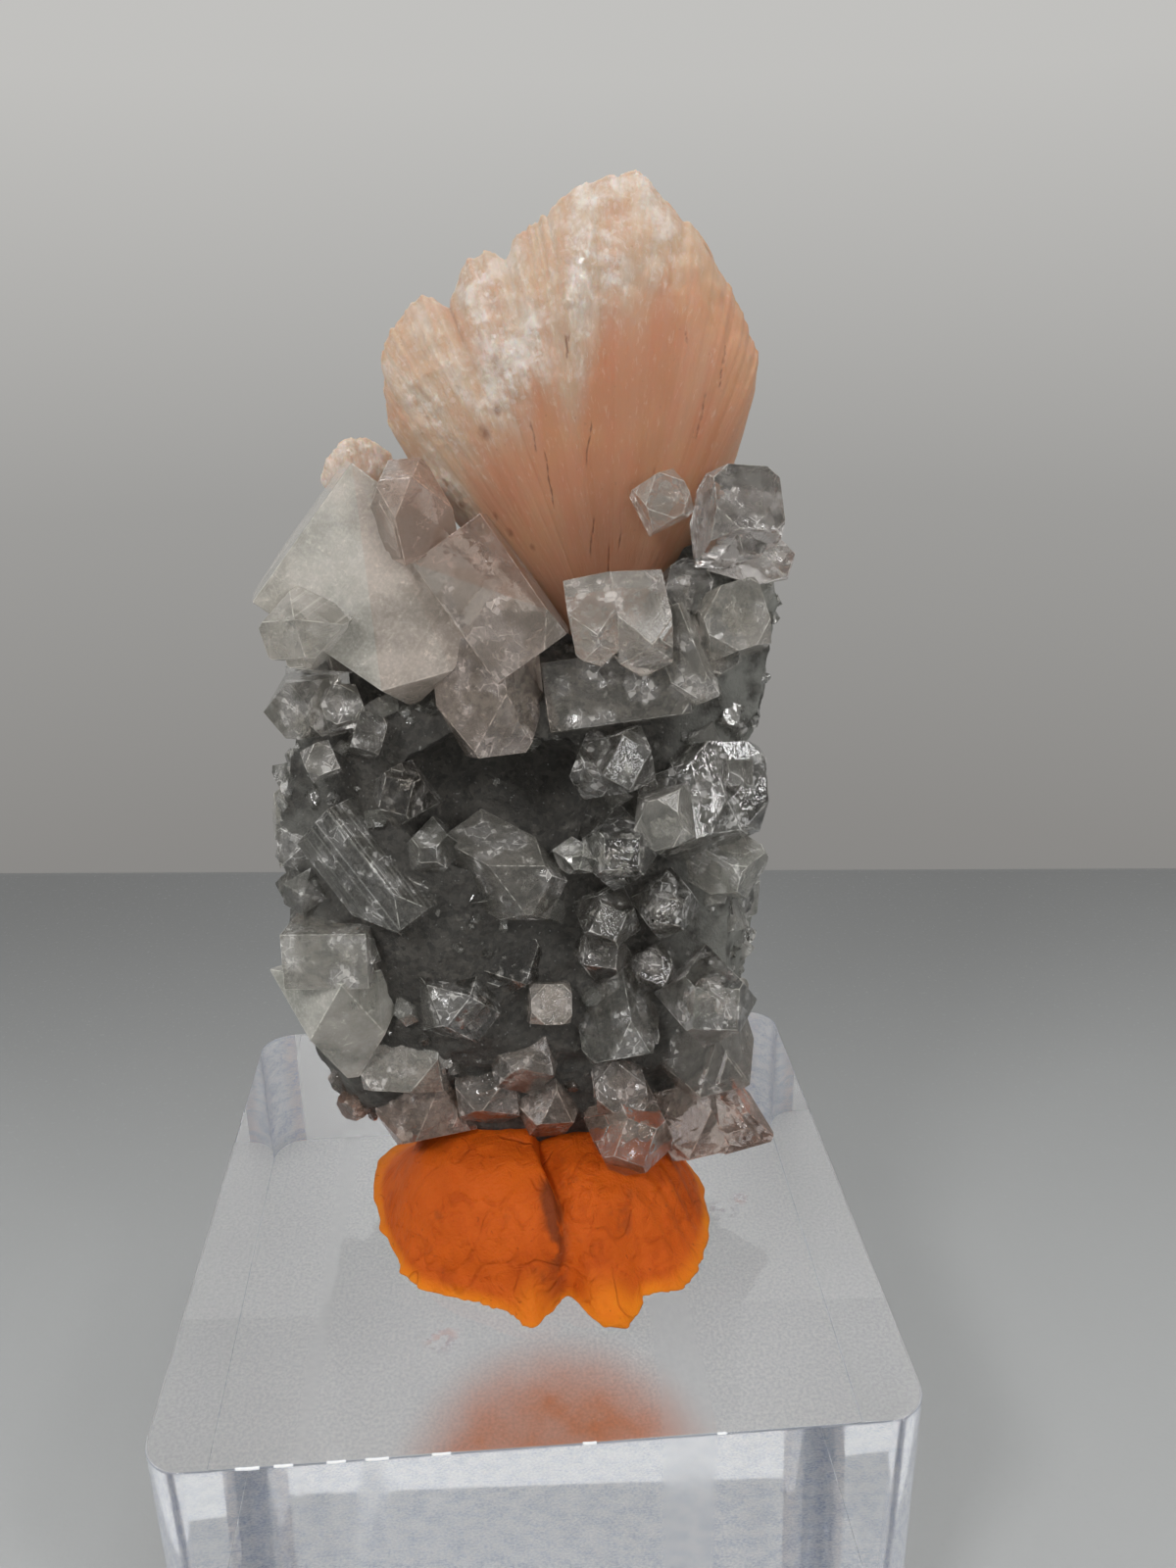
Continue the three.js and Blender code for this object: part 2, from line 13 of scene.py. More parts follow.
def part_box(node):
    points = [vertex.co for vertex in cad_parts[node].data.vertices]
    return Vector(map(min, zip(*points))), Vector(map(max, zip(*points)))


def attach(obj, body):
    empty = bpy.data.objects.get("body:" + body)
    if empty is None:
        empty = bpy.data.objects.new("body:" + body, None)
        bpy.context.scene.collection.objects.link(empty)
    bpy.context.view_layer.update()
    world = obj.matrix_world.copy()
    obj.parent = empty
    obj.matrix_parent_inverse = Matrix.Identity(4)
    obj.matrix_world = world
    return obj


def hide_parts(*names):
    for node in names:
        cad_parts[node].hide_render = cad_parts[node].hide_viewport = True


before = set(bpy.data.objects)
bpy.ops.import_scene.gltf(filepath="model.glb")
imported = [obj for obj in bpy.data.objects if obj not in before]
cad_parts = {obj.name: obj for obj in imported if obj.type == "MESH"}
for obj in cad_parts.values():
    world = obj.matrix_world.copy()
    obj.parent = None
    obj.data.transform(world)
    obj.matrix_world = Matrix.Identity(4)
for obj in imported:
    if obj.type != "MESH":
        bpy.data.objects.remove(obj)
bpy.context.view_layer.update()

bl_info = {
    "name": "Apophyllite cluster",
    "version": (1, 0, 0),
    "blender": (4, 5, 0),
    "location": "View3D > Sidebar > Mineral",
    "description": "Builds a mineral specimen on a display block from its packed model",
    "category": "Add Mesh",
}

# Lengths are millimetres unless a name says otherwise. Meshes and lights are made in metres.
MM = 0.001
GOLDEN = 0.618034

# ---- The camera ----

CAMERA_PLACE = (-1.3, -126.7, 140.5)
CAMERA_PITCH = 20.92  # degrees down
CAMERA_YAW = -4.09
CAMERA_ROLL = -0.77
FOCAL_SHARE = 0.81  # focal length over the image's height
SENSOR = 36.0

# ---- The rock, as in the solid model ----

ROCK_MIDDLE = (1.0, 6.5, 77.5)
ROCK_HALF = (27.0, 10.0, 31.0)
ROCK_SQUARENESS = 5.0  # the power of its rounded box
ROCK_FACETS = 50
ROCK_BROKEN = (0.87, 0.99)  # how deep its flat fractures lie, as shares of that box

# ---- Apophyllite ----

SLOPE = 1.7587  # tangent of the angle between the base and pyramid faces
# How unevenly its faces have grown, as shares of its size.
UNEVEN_PRISM = 0.07
UNEVEN_PYRAMID = 0.25
UNEVEN_APEX = 0.12
WORN_AND_HIGHLIT_EDGE = 0.07  # how far from both of its faces an edge is pale, from wear and from a painted highlight
PAINTED_PUTTY_GLOW_HEIGHTS = (46.0, 66.0)  # a painted reflection of the orange putty: the crystals are tinted pinkish brown from the upper of these heights down to the lower
# What a crystal's mesh tells its material for each face: haze, pinkish tint that also holds the painted
# reflection of the putty toward the foot, grey tint, pale edges that are partly wear and partly a painted
# highlight, dullness and how striated it is.
CRYSTAL_LAYERS = ("milk", "warm", "smoky", "edge", "frost", "lined")

# Groups of crystals on the rock's sides and back: how many, the turn in degrees and the height that they are
# spread over, the half widths of the first and the others in a group, and how far apart those are. Toward the
# rock's left and right they are narrower and stand out less.
SIDE_GROUPS = 11
SIDE_IN_GROUP = 3
SIDE_TURN = (-22.0, 202.0)
SIDE_HEIGHT = (54.0, 103.0)
SIDE_LARGE = 4.2
SIDE_SMALL = 2.6
SIDE_APART = 3.6
SIDE_NARROWEST = 0.8
SIDE_STAND_OUT = 0.9

# Each row is the middle of the tip x, y, z, the way that the crystal points as degrees in the XZ plane and
# degrees towards the front, the spin about its axis, half its width, depth over width, how blunt its tip is
# (0 a point, 2.5 square), its length, how milky it is (0 to 1) and how striated it is (0 to 1).
CRYSTALS = [
    # the big pale crystal at the upper left, and those grown on and beside it
    (-17.6, -1, 107.6, 231, 10, -4, 10, 0.62, 2, 16, 0.68, 0.3),
    (2.2, -4.5, 107.4, -56, 12, 0, 4, 1, 2.1, 14, 0.42, 0.2),
    (-1.9, -5, 97.4, -86, 16, 30, 4.2, 0.9, 1.2, 12, 0.35, 0.2),
    (-9.8, -5, 126, 97, 16, 35, 3.1, 0.9, 1.2, 8, 0.5, 0.3),
    (-20.8, -10.5, 111, 200, 65, 35, 2.9, 0.9, 1.3, 6, 0.55, 1),
    # below the sheaf
    (8.6, -8.2, 108.3, -85, 50, 8, 2.3, 1, 1.1, 8, 0.37, 0.1),
    (13, -8.4, 107.6, -82, 48, -12, 2.6, 1, 1.2, 9, 0.37, 0.1),
    (19, -6.5, 102.7, -69, 18, 20, 1.9, 1, 1, 10, 0.35, 0.2),
    (11.2, -3.5, 99.8, -84, 20, 4, 7, 0.5, 2.1, 7, 0.29, 0.2),
    (11, -9, 97.4, 90, 75, 15, 2.9, 1, 1.1, 6, 0.15, 0.1),
    (7.2, -7.5, 94.8, 230, 60, 20, 2.1, 1, 1.5, 6, 0.15, 0.1),
    # the shoulder to the right of the sheaf
    (23, -6, 122.8, 75, 50, 12, 3.3, 1, 1.8, 8, 0.17, 0.3),
    (23.9, -6.5, 119.2, 0, 60, 20, 2.1, 1, 1.5, 6, 0.2, 0.2),
    (28.3, -2.5, 115.6, -15, 18, 30, 2.3, 1, 0.9, 8, 0.3, 0.2),
    (22.3, -6, 111.3, 90, 66, 15, 3.2, 1, 1.7, 8, 0.46, 0.2),
    (14.8, -8.3, 123.4, 90, 72, 25, 2.2, 1, 1.3, 6, 0.3, 0.1),
    (17.8, -3, 113.8, 90, 60, 30, 2.5, 1, 1.7, 7, 0.05, 0.1),
    (20.3, -5, 107.3, 90, 65, 30, 2.1, 1, 1.7, 7, 0.1, 0.1),
    # the right side
    (21.5, -6, 93.8, 75, 58, 12, 4.8, 0.9, 1.7, 10, 0.12, 0.3),
    (22.4, -9.5, 96.2, 80, 70, 8, 1.3, 1, 1.8, 5, 0.2, 0.2),
    (13.9, -10, 91.2, 175, 62, 25, 2.6, 1, 1.5, 8, 0.4, 0.2),
    (19.5, -6.5, 87, -75, 38, 15, 4.2, 1, 1.8, 8, 0.12, 0.4),
    (24.6, -6, 82.8, -20, 42, 22, 2.7, 1, 1.6, 9, 0.35, 0.6),
    (15.6, -9.5, 81.4, 90, 72, 35, 2.9, 1, 0.9, 7, 0.1, 0.2),
    (10.4, -10.5, 88.4, 90, 74, 42, 3.4, 1, 0.8, 8, 0.12, 0.1),
    (6.9, -10, 87, 0, 60, 20, 1.3, 1, 1, 4, 0.3, 0.2),
    # the middle and the left side
    (3, -10.5, 84, -15, 40, 22, 3.2, 1, 1, 12, 0.24, 0.3),
    (-3.8, -6, 81.2, -85, 30, 10, 4, 0.8, 1.9, 6, 0.05, 0.1),
    (-9, -10, 89, 95, 72, 40, 2.4, 1, 0.6, 7, 0.2, 0.1),
    (-11.6, -8.5, 95, 95, 68, 25, 2.6, 1, 1, 7, 0.1, 0.1),
    (-22.2, -5.5, 102.9, 170, 60, 12, 2.8, 1, 1.6, 7, 0.2, 0.2),
    (-16.9, -5.5, 103.6, 80, 60, 25, 1.9, 1, 1.6, 5, 0.15, 0.9),
    (-14.2, -6.5, 100.8, 60, 60, 10, 1.5, 1.3, 1.8, 5, 0.2, 1),
    (-19.3, -7, 98.4, 80, 65, 30, 1.6, 1, 1.6, 5, 0.25, 0.8),
    (-10.9, -9, 80.9, -50, 24, 25, 3.3, 1, 1.3, 14, 0.17, 1),
    (-23.9, -3.5, 81.5, 190, 50, 25, 1.9, 1, 1.3, 6, 0.2, 0.2),
    (-17.6, -7.5, 77.6, 85, 62, 20, 2.2, 1, 1.6, 6, 0.25, 0.4),
    # the lower half
    (-20.2, -6.2, 73.6, -90, 8, 6, 4.4, 0.8, 2.4, 6, 0.35, 0.2),
    (-19.0, -5.5, 60.6, -89, 12, 40, 5.6, 1, 0.12, 13, 0.62, 0.2),
    (-13.2, -4.5, 57.8, -95, 30, 15, 4.5, 0.9, 1.7, 8, 0.4, 0.2),
    (-10.8, -3.5, 50.4, -80, 35, 25, 4.6, 0.9, 1.7, 8, 0.35, 0.2),
    (-5.4, -10.8, 69.8, -15, 62, 15, 3.4, 1, 1.1, 9, 0.15, 0.1),
    (3, -10, 71, 75, 65, 12, 2.2, 1, 1.6, 7, 0.4, 0.2),
    (-1.2, -7.4, 75.6, 95, 58, 20, 3.4, 1, 1.5, 9, 0.1, 0.4),
    (10.9, -8, 62.7, -82, 34, 30, 3.4, 1, 1.5, 10, 0.25, 0.3),
    (20, -11.5, 70.9, 90, 70, 40, 3.9, 1, 0.9, 10, 0.1, 0.1),
    (9.2, -10, 80.6, 90, 70, 20, 2.9, 1, 0.9, 8, 0.1, 0.1),
    (8.6, -7.5, 75.6, 90, 62, 35, 2.6, 1, 1.2, 7, 0.1, 0.1),
    (13.9, -9, 74.2, 90, 66, 20, 2.1, 1, 1.2, 6, 0.15, 0.2),
    (-0.2, -8.2, 60.3, -90, 60, 15, 3.2, 1, 1.3, 9, 0.3, 0.2),
    (2.6, -6.5, 52.8, -85, 50, 30, 3, 1, 1.4, 8, 0.3, 0.2),
    (-4.2, -6, 54.6, -92, 48, 12, 3.3, 1, 1.3, 9, 0.3, 0.2),
    (11.4, -12.5, 55, 90, 66, 22, 4, 1, 0.8, 9, 0.34, 0.2),
    (10.3, -8.5, 59.3, 90, 60, 5, 2.8, 1, 1.6, 7, 0.3, 0.2),
    (28.4, -5, 48.8, -22, 15, 40, 4.1, 1, 0.2, 13, 0.3, 0.2),
    (21.5, -7, 56.5, -75, 40, 30, 4, 1, 1.3, 9, 0.25, 0.2),
    (19.8, -7, 48.4, -80, 35, 20, 3.6, 1, 1.3, 8, 0.3, 0.2),
    # on the top, behind the big crystal and the sheaf
    (-18, 9, 112, 105, -25, 20, 3.6, 1, 1.4, 10, 0.35, 0.2),
    (-2, 13, 112, 85, -30, 35, 3.2, 1, 1.1, 9, 0.3, 0.2),
    (24, 10, 118, 60, -35, 15, 3.4, 1, 1.5, 9, 0.3, 0.2),
    (13, 15, 111, 90, -50, 30, 2.8, 1, 1.3, 8, 0.25, 0.2),
]

# ---- Stilbite ----

# For each sheaf: its base, half its thickness, where its blades start, the steps of its mesh across and
# along, its seed, the scale of its fine detail, and how many layers of blades lie on each side and how many
# are in a layer.
SHEAF = {"base": (10.5, 4.0, 103.0), "thick": 7.6, "start": 4.0, "steps": 310, "rings": 155, "seed": 5,
         "scale": 1.0, "layers": 15, "blades": 44}
BUD = {"base": (-9.0, 10.0, 107.0), "thick": 2.3, "start": 2.0, "steps": 90, "rings": 70, "seed": 9,
       "scale": 0.4, "layers": 7, "blades": 12}

# What a sheaf's mesh tells its material at each vertex: frost, depth of colour, dark marks, which blade it is
# on and how near it is to the base, where the material paints shade.
SHEAF_LAYERS = ("white", "deep", "dark", "streak", "low")

# The rim of each sheaf as degrees from +X in the XZ plane and the distance from its base, lobe by lobe.
SHEAF_RIM = [
    (57, 18), (59.3, 24.8), (61.7, 29), (63.3, 32.6), (65.4, 35.6), (70.7, 38.8), (74.4, 41.3), (78.1, 43.8),
    (81.3, 45.3), (84.4, 47.4), (86.8, 48.7), (89.3, 48.1), (93.6, 47.3), (95.7, 46.4), (97.3, 44.9),
    (99.4, 44.7), (101.6, 43.6), (103.2, 42.0), (104.9, 43.4), (106.9, 43.3), (109.1, 42.4), (112.3, 39.8),
    (114.9, 42.1), (118.9, 41.2), (122.6, 40), (125.4, 37.8), (129.6, 34), (131.7, 29), (133.6, 22),
]
BUD_RIM = [(96, 14), (98, 19), (104, 21), (110, 21.5), (117, 20.5), (122, 19), (124, 14)]


# ---- Numbers ----

def scatter(index, salt):
    """A repeatable number from -1 to 1 for a pair of whole numbers."""
    value = math.sin(index * 12.9898 + salt * 78.233) * 43758.5453
    return 2 * (value - math.floor(value)) - 1


def unit(vector):
    return vector / np.linalg.norm(vector)


def smooth(low, high, value):
    """0 below low, 1 above high, and a smooth rise between them."""
    part = np.clip((value - low) / (high - low), 0, 1)
    return part * part * (3 - 2 * part)


# The whole numbers that turn a cell of the noise into a random number.
NOISE_START = 57.3
NOISE_STEPS = (73856093, 19349663, 83492791)
NOISE_SEED = 97571
NOISE_MIX = 1274126177


def noise_at(points, size, seed):
    """Smooth noise from -1 to 1 at each row of points, with bumps about size apart."""
    places = np.asarray(points, float) / size + NOISE_START
    cell = np.floor(places).astype(np.int64)
    part = places - cell
    part = part * part * (3 - 2 * part)
    total = np.zeros(len(places))
    for corner in range(8):
        offset = np.array([corner & 1, corner >> 1 & 1, corner >> 2])
        mixed = (cell + offset) @ np.array(NOISE_STEPS) + seed * NOISE_SEED
        mixed = (mixed ^ (mixed >> 13)) * NOISE_MIX
        mixed = (mixed ^ (mixed >> 16)) & 0xFFFF
        total += np.prod(np.where(offset, part, 1 - part), axis=1) * (mixed / 32767.5 - 1)
    return total


def layered_noise(points, size, octaves, seed):
    """Noise whose bumps halve in size and height from one octave to the next."""
    return sum(noise_at(points, size / 2 ** k, seed + k) / 2 ** k for k in range(octaves))


# ---- Meshes ----

def mesh_object(name, places, faces, material, shade_smooth=True):
    """A mesh object from places in millimetres."""
    mesh = bpy.data.meshes.new(name)
    mesh.from_pydata((np.asarray(places, float) * MM).tolist(), [], [list(face) for face in faces])
    mesh.validate()
    mesh.polygons.foreach_set("use_smooth", [shade_smooth] * len(mesh.polygons))
    thing = bpy.data.objects.new(name, mesh)
    bpy.context.scene.collection.objects.link(thing)
    mesh.materials.append(material)
    return thing


def vectors_of(items, name):
    """A row of three numbers for each vertex, normal or face of a mesh."""
    flat = np.empty(len(items) * 3)
    items.foreach_get(name, flat)
    return flat.reshape(-1, 3)


def metres(place):
    """A place in millimetres as metres."""
    return tuple(value * MM for value in place)


def quads(grid):
    """The corners of each cell of a grid of vertex numbers."""
    return np.stack([grid[:-1, :-1], grid[:-1, 1:], grid[1:, 1:], grid[1:, :-1]], axis=2).reshape(-1, 4)


def value_layer(mesh, name, values, domain="POINT"):
    """Stores a number for each vertex or face under a name that materials read."""
    layer = mesh.attributes.new(name, "FLOAT", domain)
    layer.data.foreach_set("value", np.asarray(values, np.float32))


def vector_layer(mesh, name, values, domain="FACE"):
    """Stores a vector for each vertex or face under a name that materials read."""
    layer = mesh.attributes.new(name, "FLOAT_VECTOR", domain)
    layer.data.foreach_set("vector", np.asarray(values, np.float32).ravel())


def with_modifiers(thing):
    """Replaces an object's mesh by what its modifiers make of it."""
    graph = bpy.context.evaluated_depsgraph_get()
    made = bpy.data.meshes.new_from_object(thing.evaluated_get(graph))
    thing.modifiers.clear()
    thing.data = made
    return thing


def remeshed_copy(node, name, voxel):
    """A copy of a solid of the frame as an even fine mesh."""
    thing = bpy.data.objects.new(name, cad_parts[node].data.copy())
    bpy.context.scene.collection.objects.link(thing)
    thing.data.materials.clear()
    remesh = thing.modifiers.new("even", "REMESH")
    remesh.mode = "VOXEL"
    remesh.voxel_size = voxel * MM
    remesh.use_smooth_shade = True
    return with_modifiers(thing)


def dressed(piece, slot, *nodes):
    """Hands a finished piece over: it rides on the one body and stands for its solids."""
    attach(piece, "root")
    if nodes:
        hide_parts(*nodes)
    return piece


# ---- Shader maths ----

class Wire:
    """An output socket that takes part in Python expressions."""

    def __init__(self, look, socket):
        self.look = look
        self.socket = socket

    def _math(self, operation, first, second):
        return self.look.node("ShaderNodeMath", {"operation": operation}, {0: first, 1: second})

    def __add__(self, other):
        return self._math("ADD", self, other)

    def __radd__(self, other):
        return self._math("ADD", other, self)

    def __sub__(self, other):
        return self._math("SUBTRACT", self, other)

    def __rsub__(self, other):
        return self._math("SUBTRACT", other, self)

    def __mul__(self, other):
        return self._math("MULTIPLY", self, other)

    def __rmul__(self, other):
        return self._math("MULTIPLY", other, self)

    def __pow__(self, other):
        return self._math("POWER", self, other)

    def between(self, low, high, start=0.0, end=1.0):
        """This value's smooth rise from start at low to end at high."""
        return self.look.node(
            "ShaderNodeMapRange", {"interpolation_type": "SMOOTHSTEP", "clamp": True},
            {"Value": self, "From Min": low, "From Max": high, "To Min": start, "To Max": end})


class Look:
    """The nodes of one material, or of the world."""

    def __init__(self, name, store="materials"):
        self.made = getattr(bpy.data, store).new(name)
        self.made.use_nodes = True
        self.tree = self.made.node_tree
        self.tree.nodes.clear()

    def node(self, kind, settings=None, inputs=None, output=0):
        """A node with its settings, the values or links of its inputs, and the output that is wanted."""
        made = self.tree.nodes.new(kind)
        for name, value in (settings or {}).items():
            if name == "stops":
                self._stops(made.color_ramp, value)
            else:
                setattr(made, name, value)
        for key, value in (inputs or {}).items():
            if isinstance(value, Wire):
                self.tree.links.new(value.socket, made.inputs[key])
            else:
                made.inputs[key].default_value = value
        return Wire(self, made.outputs[output]) if made.outputs else None

    @staticmethod
    def _stops(ramp, stops):
        while len(ramp.elements) < len(stops):
            ramp.elements.new(0.5)
        for element, (place, colour) in zip(ramp.elements, stops):
            element.position = place
            element.color = (*colour, 1)

    def place(self):
        return self.node("ShaderNodeTexCoord", output="Object")

    def noise(self, size, detail=3.0, roughness=0.55, warp=0.0, place=None):
        """Noise from 0 to 1 with bumps about size millimetres apart."""
        return self.raw_noise(place or self.place(), 1 / (size * MM), detail, roughness, warp)

    def raw_noise(self, place, scale, detail, roughness=0.5, warp=0.0):
        inputs = {"Vector": place, "Scale": scale, "Detail": detail, "Roughness": roughness}
        return self.node("ShaderNodeTexNoise", {}, {**inputs, "Distortion": warp}, "Fac")

    def cells(self, size, feature="F1", output="Distance"):
        """Cells about size millimetres apart."""
        inputs = {"Scale": 1 / (size * MM), "Vector": self.place()}
        return self.node("ShaderNodeTexVoronoi", {"feature": feature}, inputs, output)

    def random(self, colours, part=0):
        """A random number for each cell, from one part of its random colour."""
        return self.node("ShaderNodeSeparateColor", {}, {0: colours}, part)

    def along(self, axis):
        """The place along X, Y or Z, in metres."""
        return self.node("ShaderNodeSeparateXYZ", {}, {0: self.place()}, axis)

    def layer(self, name, output="Fac"):
        return self.node("ShaderNodeAttribute", {"attribute_name": name}, output=output)

    def blend(self, factor, first, second):
        """A colour between two colours."""
        colours = {0: factor, 6: colour(first), 7: colour(second)}
        return self.node("ShaderNodeMix", {"data_type": "RGBA"}, colours, 2)

    def coats(self, tone, *coats):
        """A colour with others laid over it, each by its own factor."""
        for factor, over in coats:
            tone = self.blend(factor, tone, over)
        return tone

    def shade(self, factor, first, second):
        """A mix of two surfaces."""
        return self.node("ShaderNodeMixShader", {}, {0: factor, 1: first, 2: second}, 0)

    def absorbing(self, tint, density):
        inputs = {"Color": (*tint, 1), "Density": density}
        return self.node("ShaderNodeVolumeAbsorption", {}, inputs, "Volume")

    def vector(self, operation, first, second=None, output="Vector"):
        inputs = {0: first}
        if second is not None:
            inputs[1] = second
        return self.node("ShaderNodeVectorMath", {"operation": operation}, inputs, output)

    def bump(self, height, distance, normal=None):
        """A normal from a height of 0 to 1 that stands for a distance in millimetres."""
        inputs = {"Height": height, "Distance": distance * MM}
        if normal:
            inputs["Normal"] = normal
        return self.node("ShaderNodeBump", {}, inputs, "Normal")

    def surface(self, inputs):
        return self.node("ShaderNodeBsdfPrincipled", {}, inputs, "BSDF")

    def finish(self, surface, volume=None, kind="ShaderNodeOutputMaterial"):
        """Ends the nodes, and gives back the material or the world that they are in."""
        self.node(kind, {}, {"Surface": surface, **({"Volume": volume} if volume else {})})
        return self.made


def colour(value):
    """A colour socket's value from three numbers, or a wire as it is."""
    return value if isinstance(value, Wire) else (*value, 1)


# ---- Materials ----

# A painted shadow of the putty on the block's dull underside, filled with painted orange light reflected off
# the putty: its middle and its half widths.
GLOW_MIDDLE = (2.0, -24.0, 0.0)
GLOW_HALF = (18.0, 21.0, 10.0)
# Faint smears of putty on the block: x, y, z and the reach of each.
SMEARS = [(22.4, -6.4, 40.0, 2.2), (-10.0, -23.2, 40.0, 2.8), (24.9, -4.5, 40.0, 1.6)]


def smears(look):
    """Faint traces of putty on the block, from 0 to 1."""
    total = 0
    for *point, reach in SMEARS:
        away = look.vector("DISTANCE", look.place(), metres(point), "Value")
        total = total + (1 - away.between(0.3 * reach * MM, reach * MM))
    return total * look.noise(1.3, 4, 0.6).between(0.48, 0.58)


def acrylic_material():
    """Cast acrylic: clear and polished, with hairline scratches and a dull, speckled underside that carries a
    painted shadow of the putty filled with painted orange light off it, and painted pillars of light at its
    rounded corners.
    """
    look = Look("clear_acrylic")
    drawn_out = look.vector("MULTIPLY", look.place(), (1, 0.04, 0.04))
    scratches = look.noise(9, 2, place=drawn_out).between(0.62, 0.66)
    wear = scratches * 0.1 + look.noise(0.35, 2).between(0.66, 0.8) * 0.06
    clear = look.surface({
        "Base Color": (0.995, 0.998, 1.0, 1), "Roughness": 0.012 + wear, "IOR": 1.49,
        "Transmission Weight": 1.0, "Normal": look.bump(scratches, 0.01)})
    # painted shadow of the putty on the underside, filled with painted orange light reflected off it
    offset = look.vector("SUBTRACT", look.place(), metres(GLOW_MIDDLE))
    stretched = look.vector("MULTIPLY", offset, tuple(1 / value / MM for value in GLOW_HALF))
    away = look.vector("LENGTH", stretched, output="Value")
    glow = (1 - away.between(0.55, 1.15)) * look.noise(6, 3).between(0.2, 0.8, 0.7, 1.0)
    # painted pillars of light on the rounded corners, strongest at the back
    paleness_and_painted_light = look.layer("corner")
    aside = look.node("ShaderNodeMath", {"operation": "ABSOLUTE"}, {0: look.along("X")})
    speckle = look.noise(0.4, 3).between(0.3, 0.7)
    blotches = look.noise(2.4, 4, 0.65).between(0.4, 0.62)
    facing = look.node("ShaderNodeLayerWeight", {}, {"Blend": 0.5}, "Facing")
    low = facing.between(0.15, 0.45)
    bluish = facing.between(0.18, 0.27) * (1.0 - 0.6 * speckle) * (0.5 + 0.5 * blotches)
    smear = smears(look)
    tone = look.coats(
        (0.955, 0.965, 0.985),
        (speckle, (0.995, 0.993, 0.988)),
        # painted shadow and orange reflected light of the putty
        (glow, (0.88, 0.31, 0.14)),
        # painted pinkish reflection of the putty on the inner side of the corner pillars
        (paleness_and_painted_light * (1 - aside.between(0.034, 0.036)) * 0.7, (0.9, 0.6, 0.5)),
        (smear, (0.85, 0.28, 0.03)),
        (bluish, (0.3, 0.39, 0.62)))
    dull = look.surface({"Base Color": tone, "Roughness": 0.6})
    # the dull share also carries the painted pillars of light at the corners
    dull_share_with_painted_pillars = look.layer("ground") * (1 - 0.35 * low) * (0.84 + 0.16 * speckle)
    dull_share_with_painted_pillars = dull_share_with_painted_pillars + paleness_and_painted_light * 0.5 + smear * 0.35 + look.layer("chipped")
    return look.finish(look.shade(dull_share_with_painted_pillars, clear, dull), look.absorbing((0.9, 0.96, 0.97), 0.8))


def putty_material(settings):
    """Oily modelling putty: bright orange, darker where it is thick and soiled where thumbs pressed it."""
    look = Look("orange_putty")
    mottled = look.noise(5, 3).between(0.35, 0.7)
    streaks = look.noise(2.2, 4, warp=1.2).between(0.45, 0.75)
    waves = look.noise(6.5, 1, 0.5, 0.3)
    line = waves.between(0.47, 0.49) * (1 - waves.between(0.49, 0.51))
    furrow = line * look.noise(5, 2).between(0.42, 0.62)
    tone = look.coats(
        settings.putty,
        (mottled * 0.4 + streaks * 0.45, (0.46, 0.065, 0.004)),
        (look.layer("thin") * (0.55 + 0.4 * mottled), (0.9, 0.25, 0.01)),
        (furrow * 0.3, (0.36, 0.05, 0.004)),
        (look.noise(0.8, 1).between(0.72, 0.77) * 0.35, (0.22, 0.04, 0.008)),
        (look.layer("dirt") * 0.75, (0.12, 0.03, 0.012)))
    grain = look.noise(0.25, 3) * 0.4 + look.noise(0.9, 2) * 0.5 + streaks * 0.5 - furrow * 0.5
    return look.finish(look.surface({
        "Base Color": tone, "Roughness": 0.5 + 0.16 * mottled, "Specular IOR Level": 0.15,
        "Subsurface Weight": 0.2, "Subsurface Radius": (1.0, 0.35, 0.05), "Subsurface Scale": MM,
        "Normal": look.bump(grain, 0.25)}))


def basalt_material(settings):
    """Fine dark basalt with lighter grains and crusts, weathered at the sides and pale under the crystals."""
    look = Look("basalt")
    grain = look.random(look.cells(0.5, output="Color"))
    crust = look.noise(8, 4).between(0.5, 0.68)
    pale = look.noise(2.4, 4).between(0.6, 0.74)
    weathered = look.layer("weathered") * look.noise(3, 4).between(0.3, 0.6)
    seat = look.layer("seat") * look.noise(1.5, 5, 0.75).between(0.45, 0.57, 0.12, 1.0)
    tone = look.coats(
        settings.basalt,
        (grain, (0.08, 0.075, 0.066)),
        (crust * (0.05 + 0.4 * grain), (0.125, 0.114, 0.098)),
        (pale * (0.06 + 0.45 * grain), (0.22, 0.205, 0.178)),
        (look.noise(0.45, 2).between(0.68, 0.75) * 0.6, (0.4, 0.4, 0.38)),
        (weathered * 0.9, (0.25, 0.252, 0.23)),
        (seat, (0.45, 0.415, 0.365)))
    rough = look.noise(0.3, 4) * 0.6 + look.noise(1.1, 3) * 0.4
    return look.finish(look.surface({
        "Base Color": tone, "Roughness": 0.6 + 0.25 * (1 - pale), "Specular IOR Level": 0.5,
        "Normal": look.bump(rough, 0.4)}))


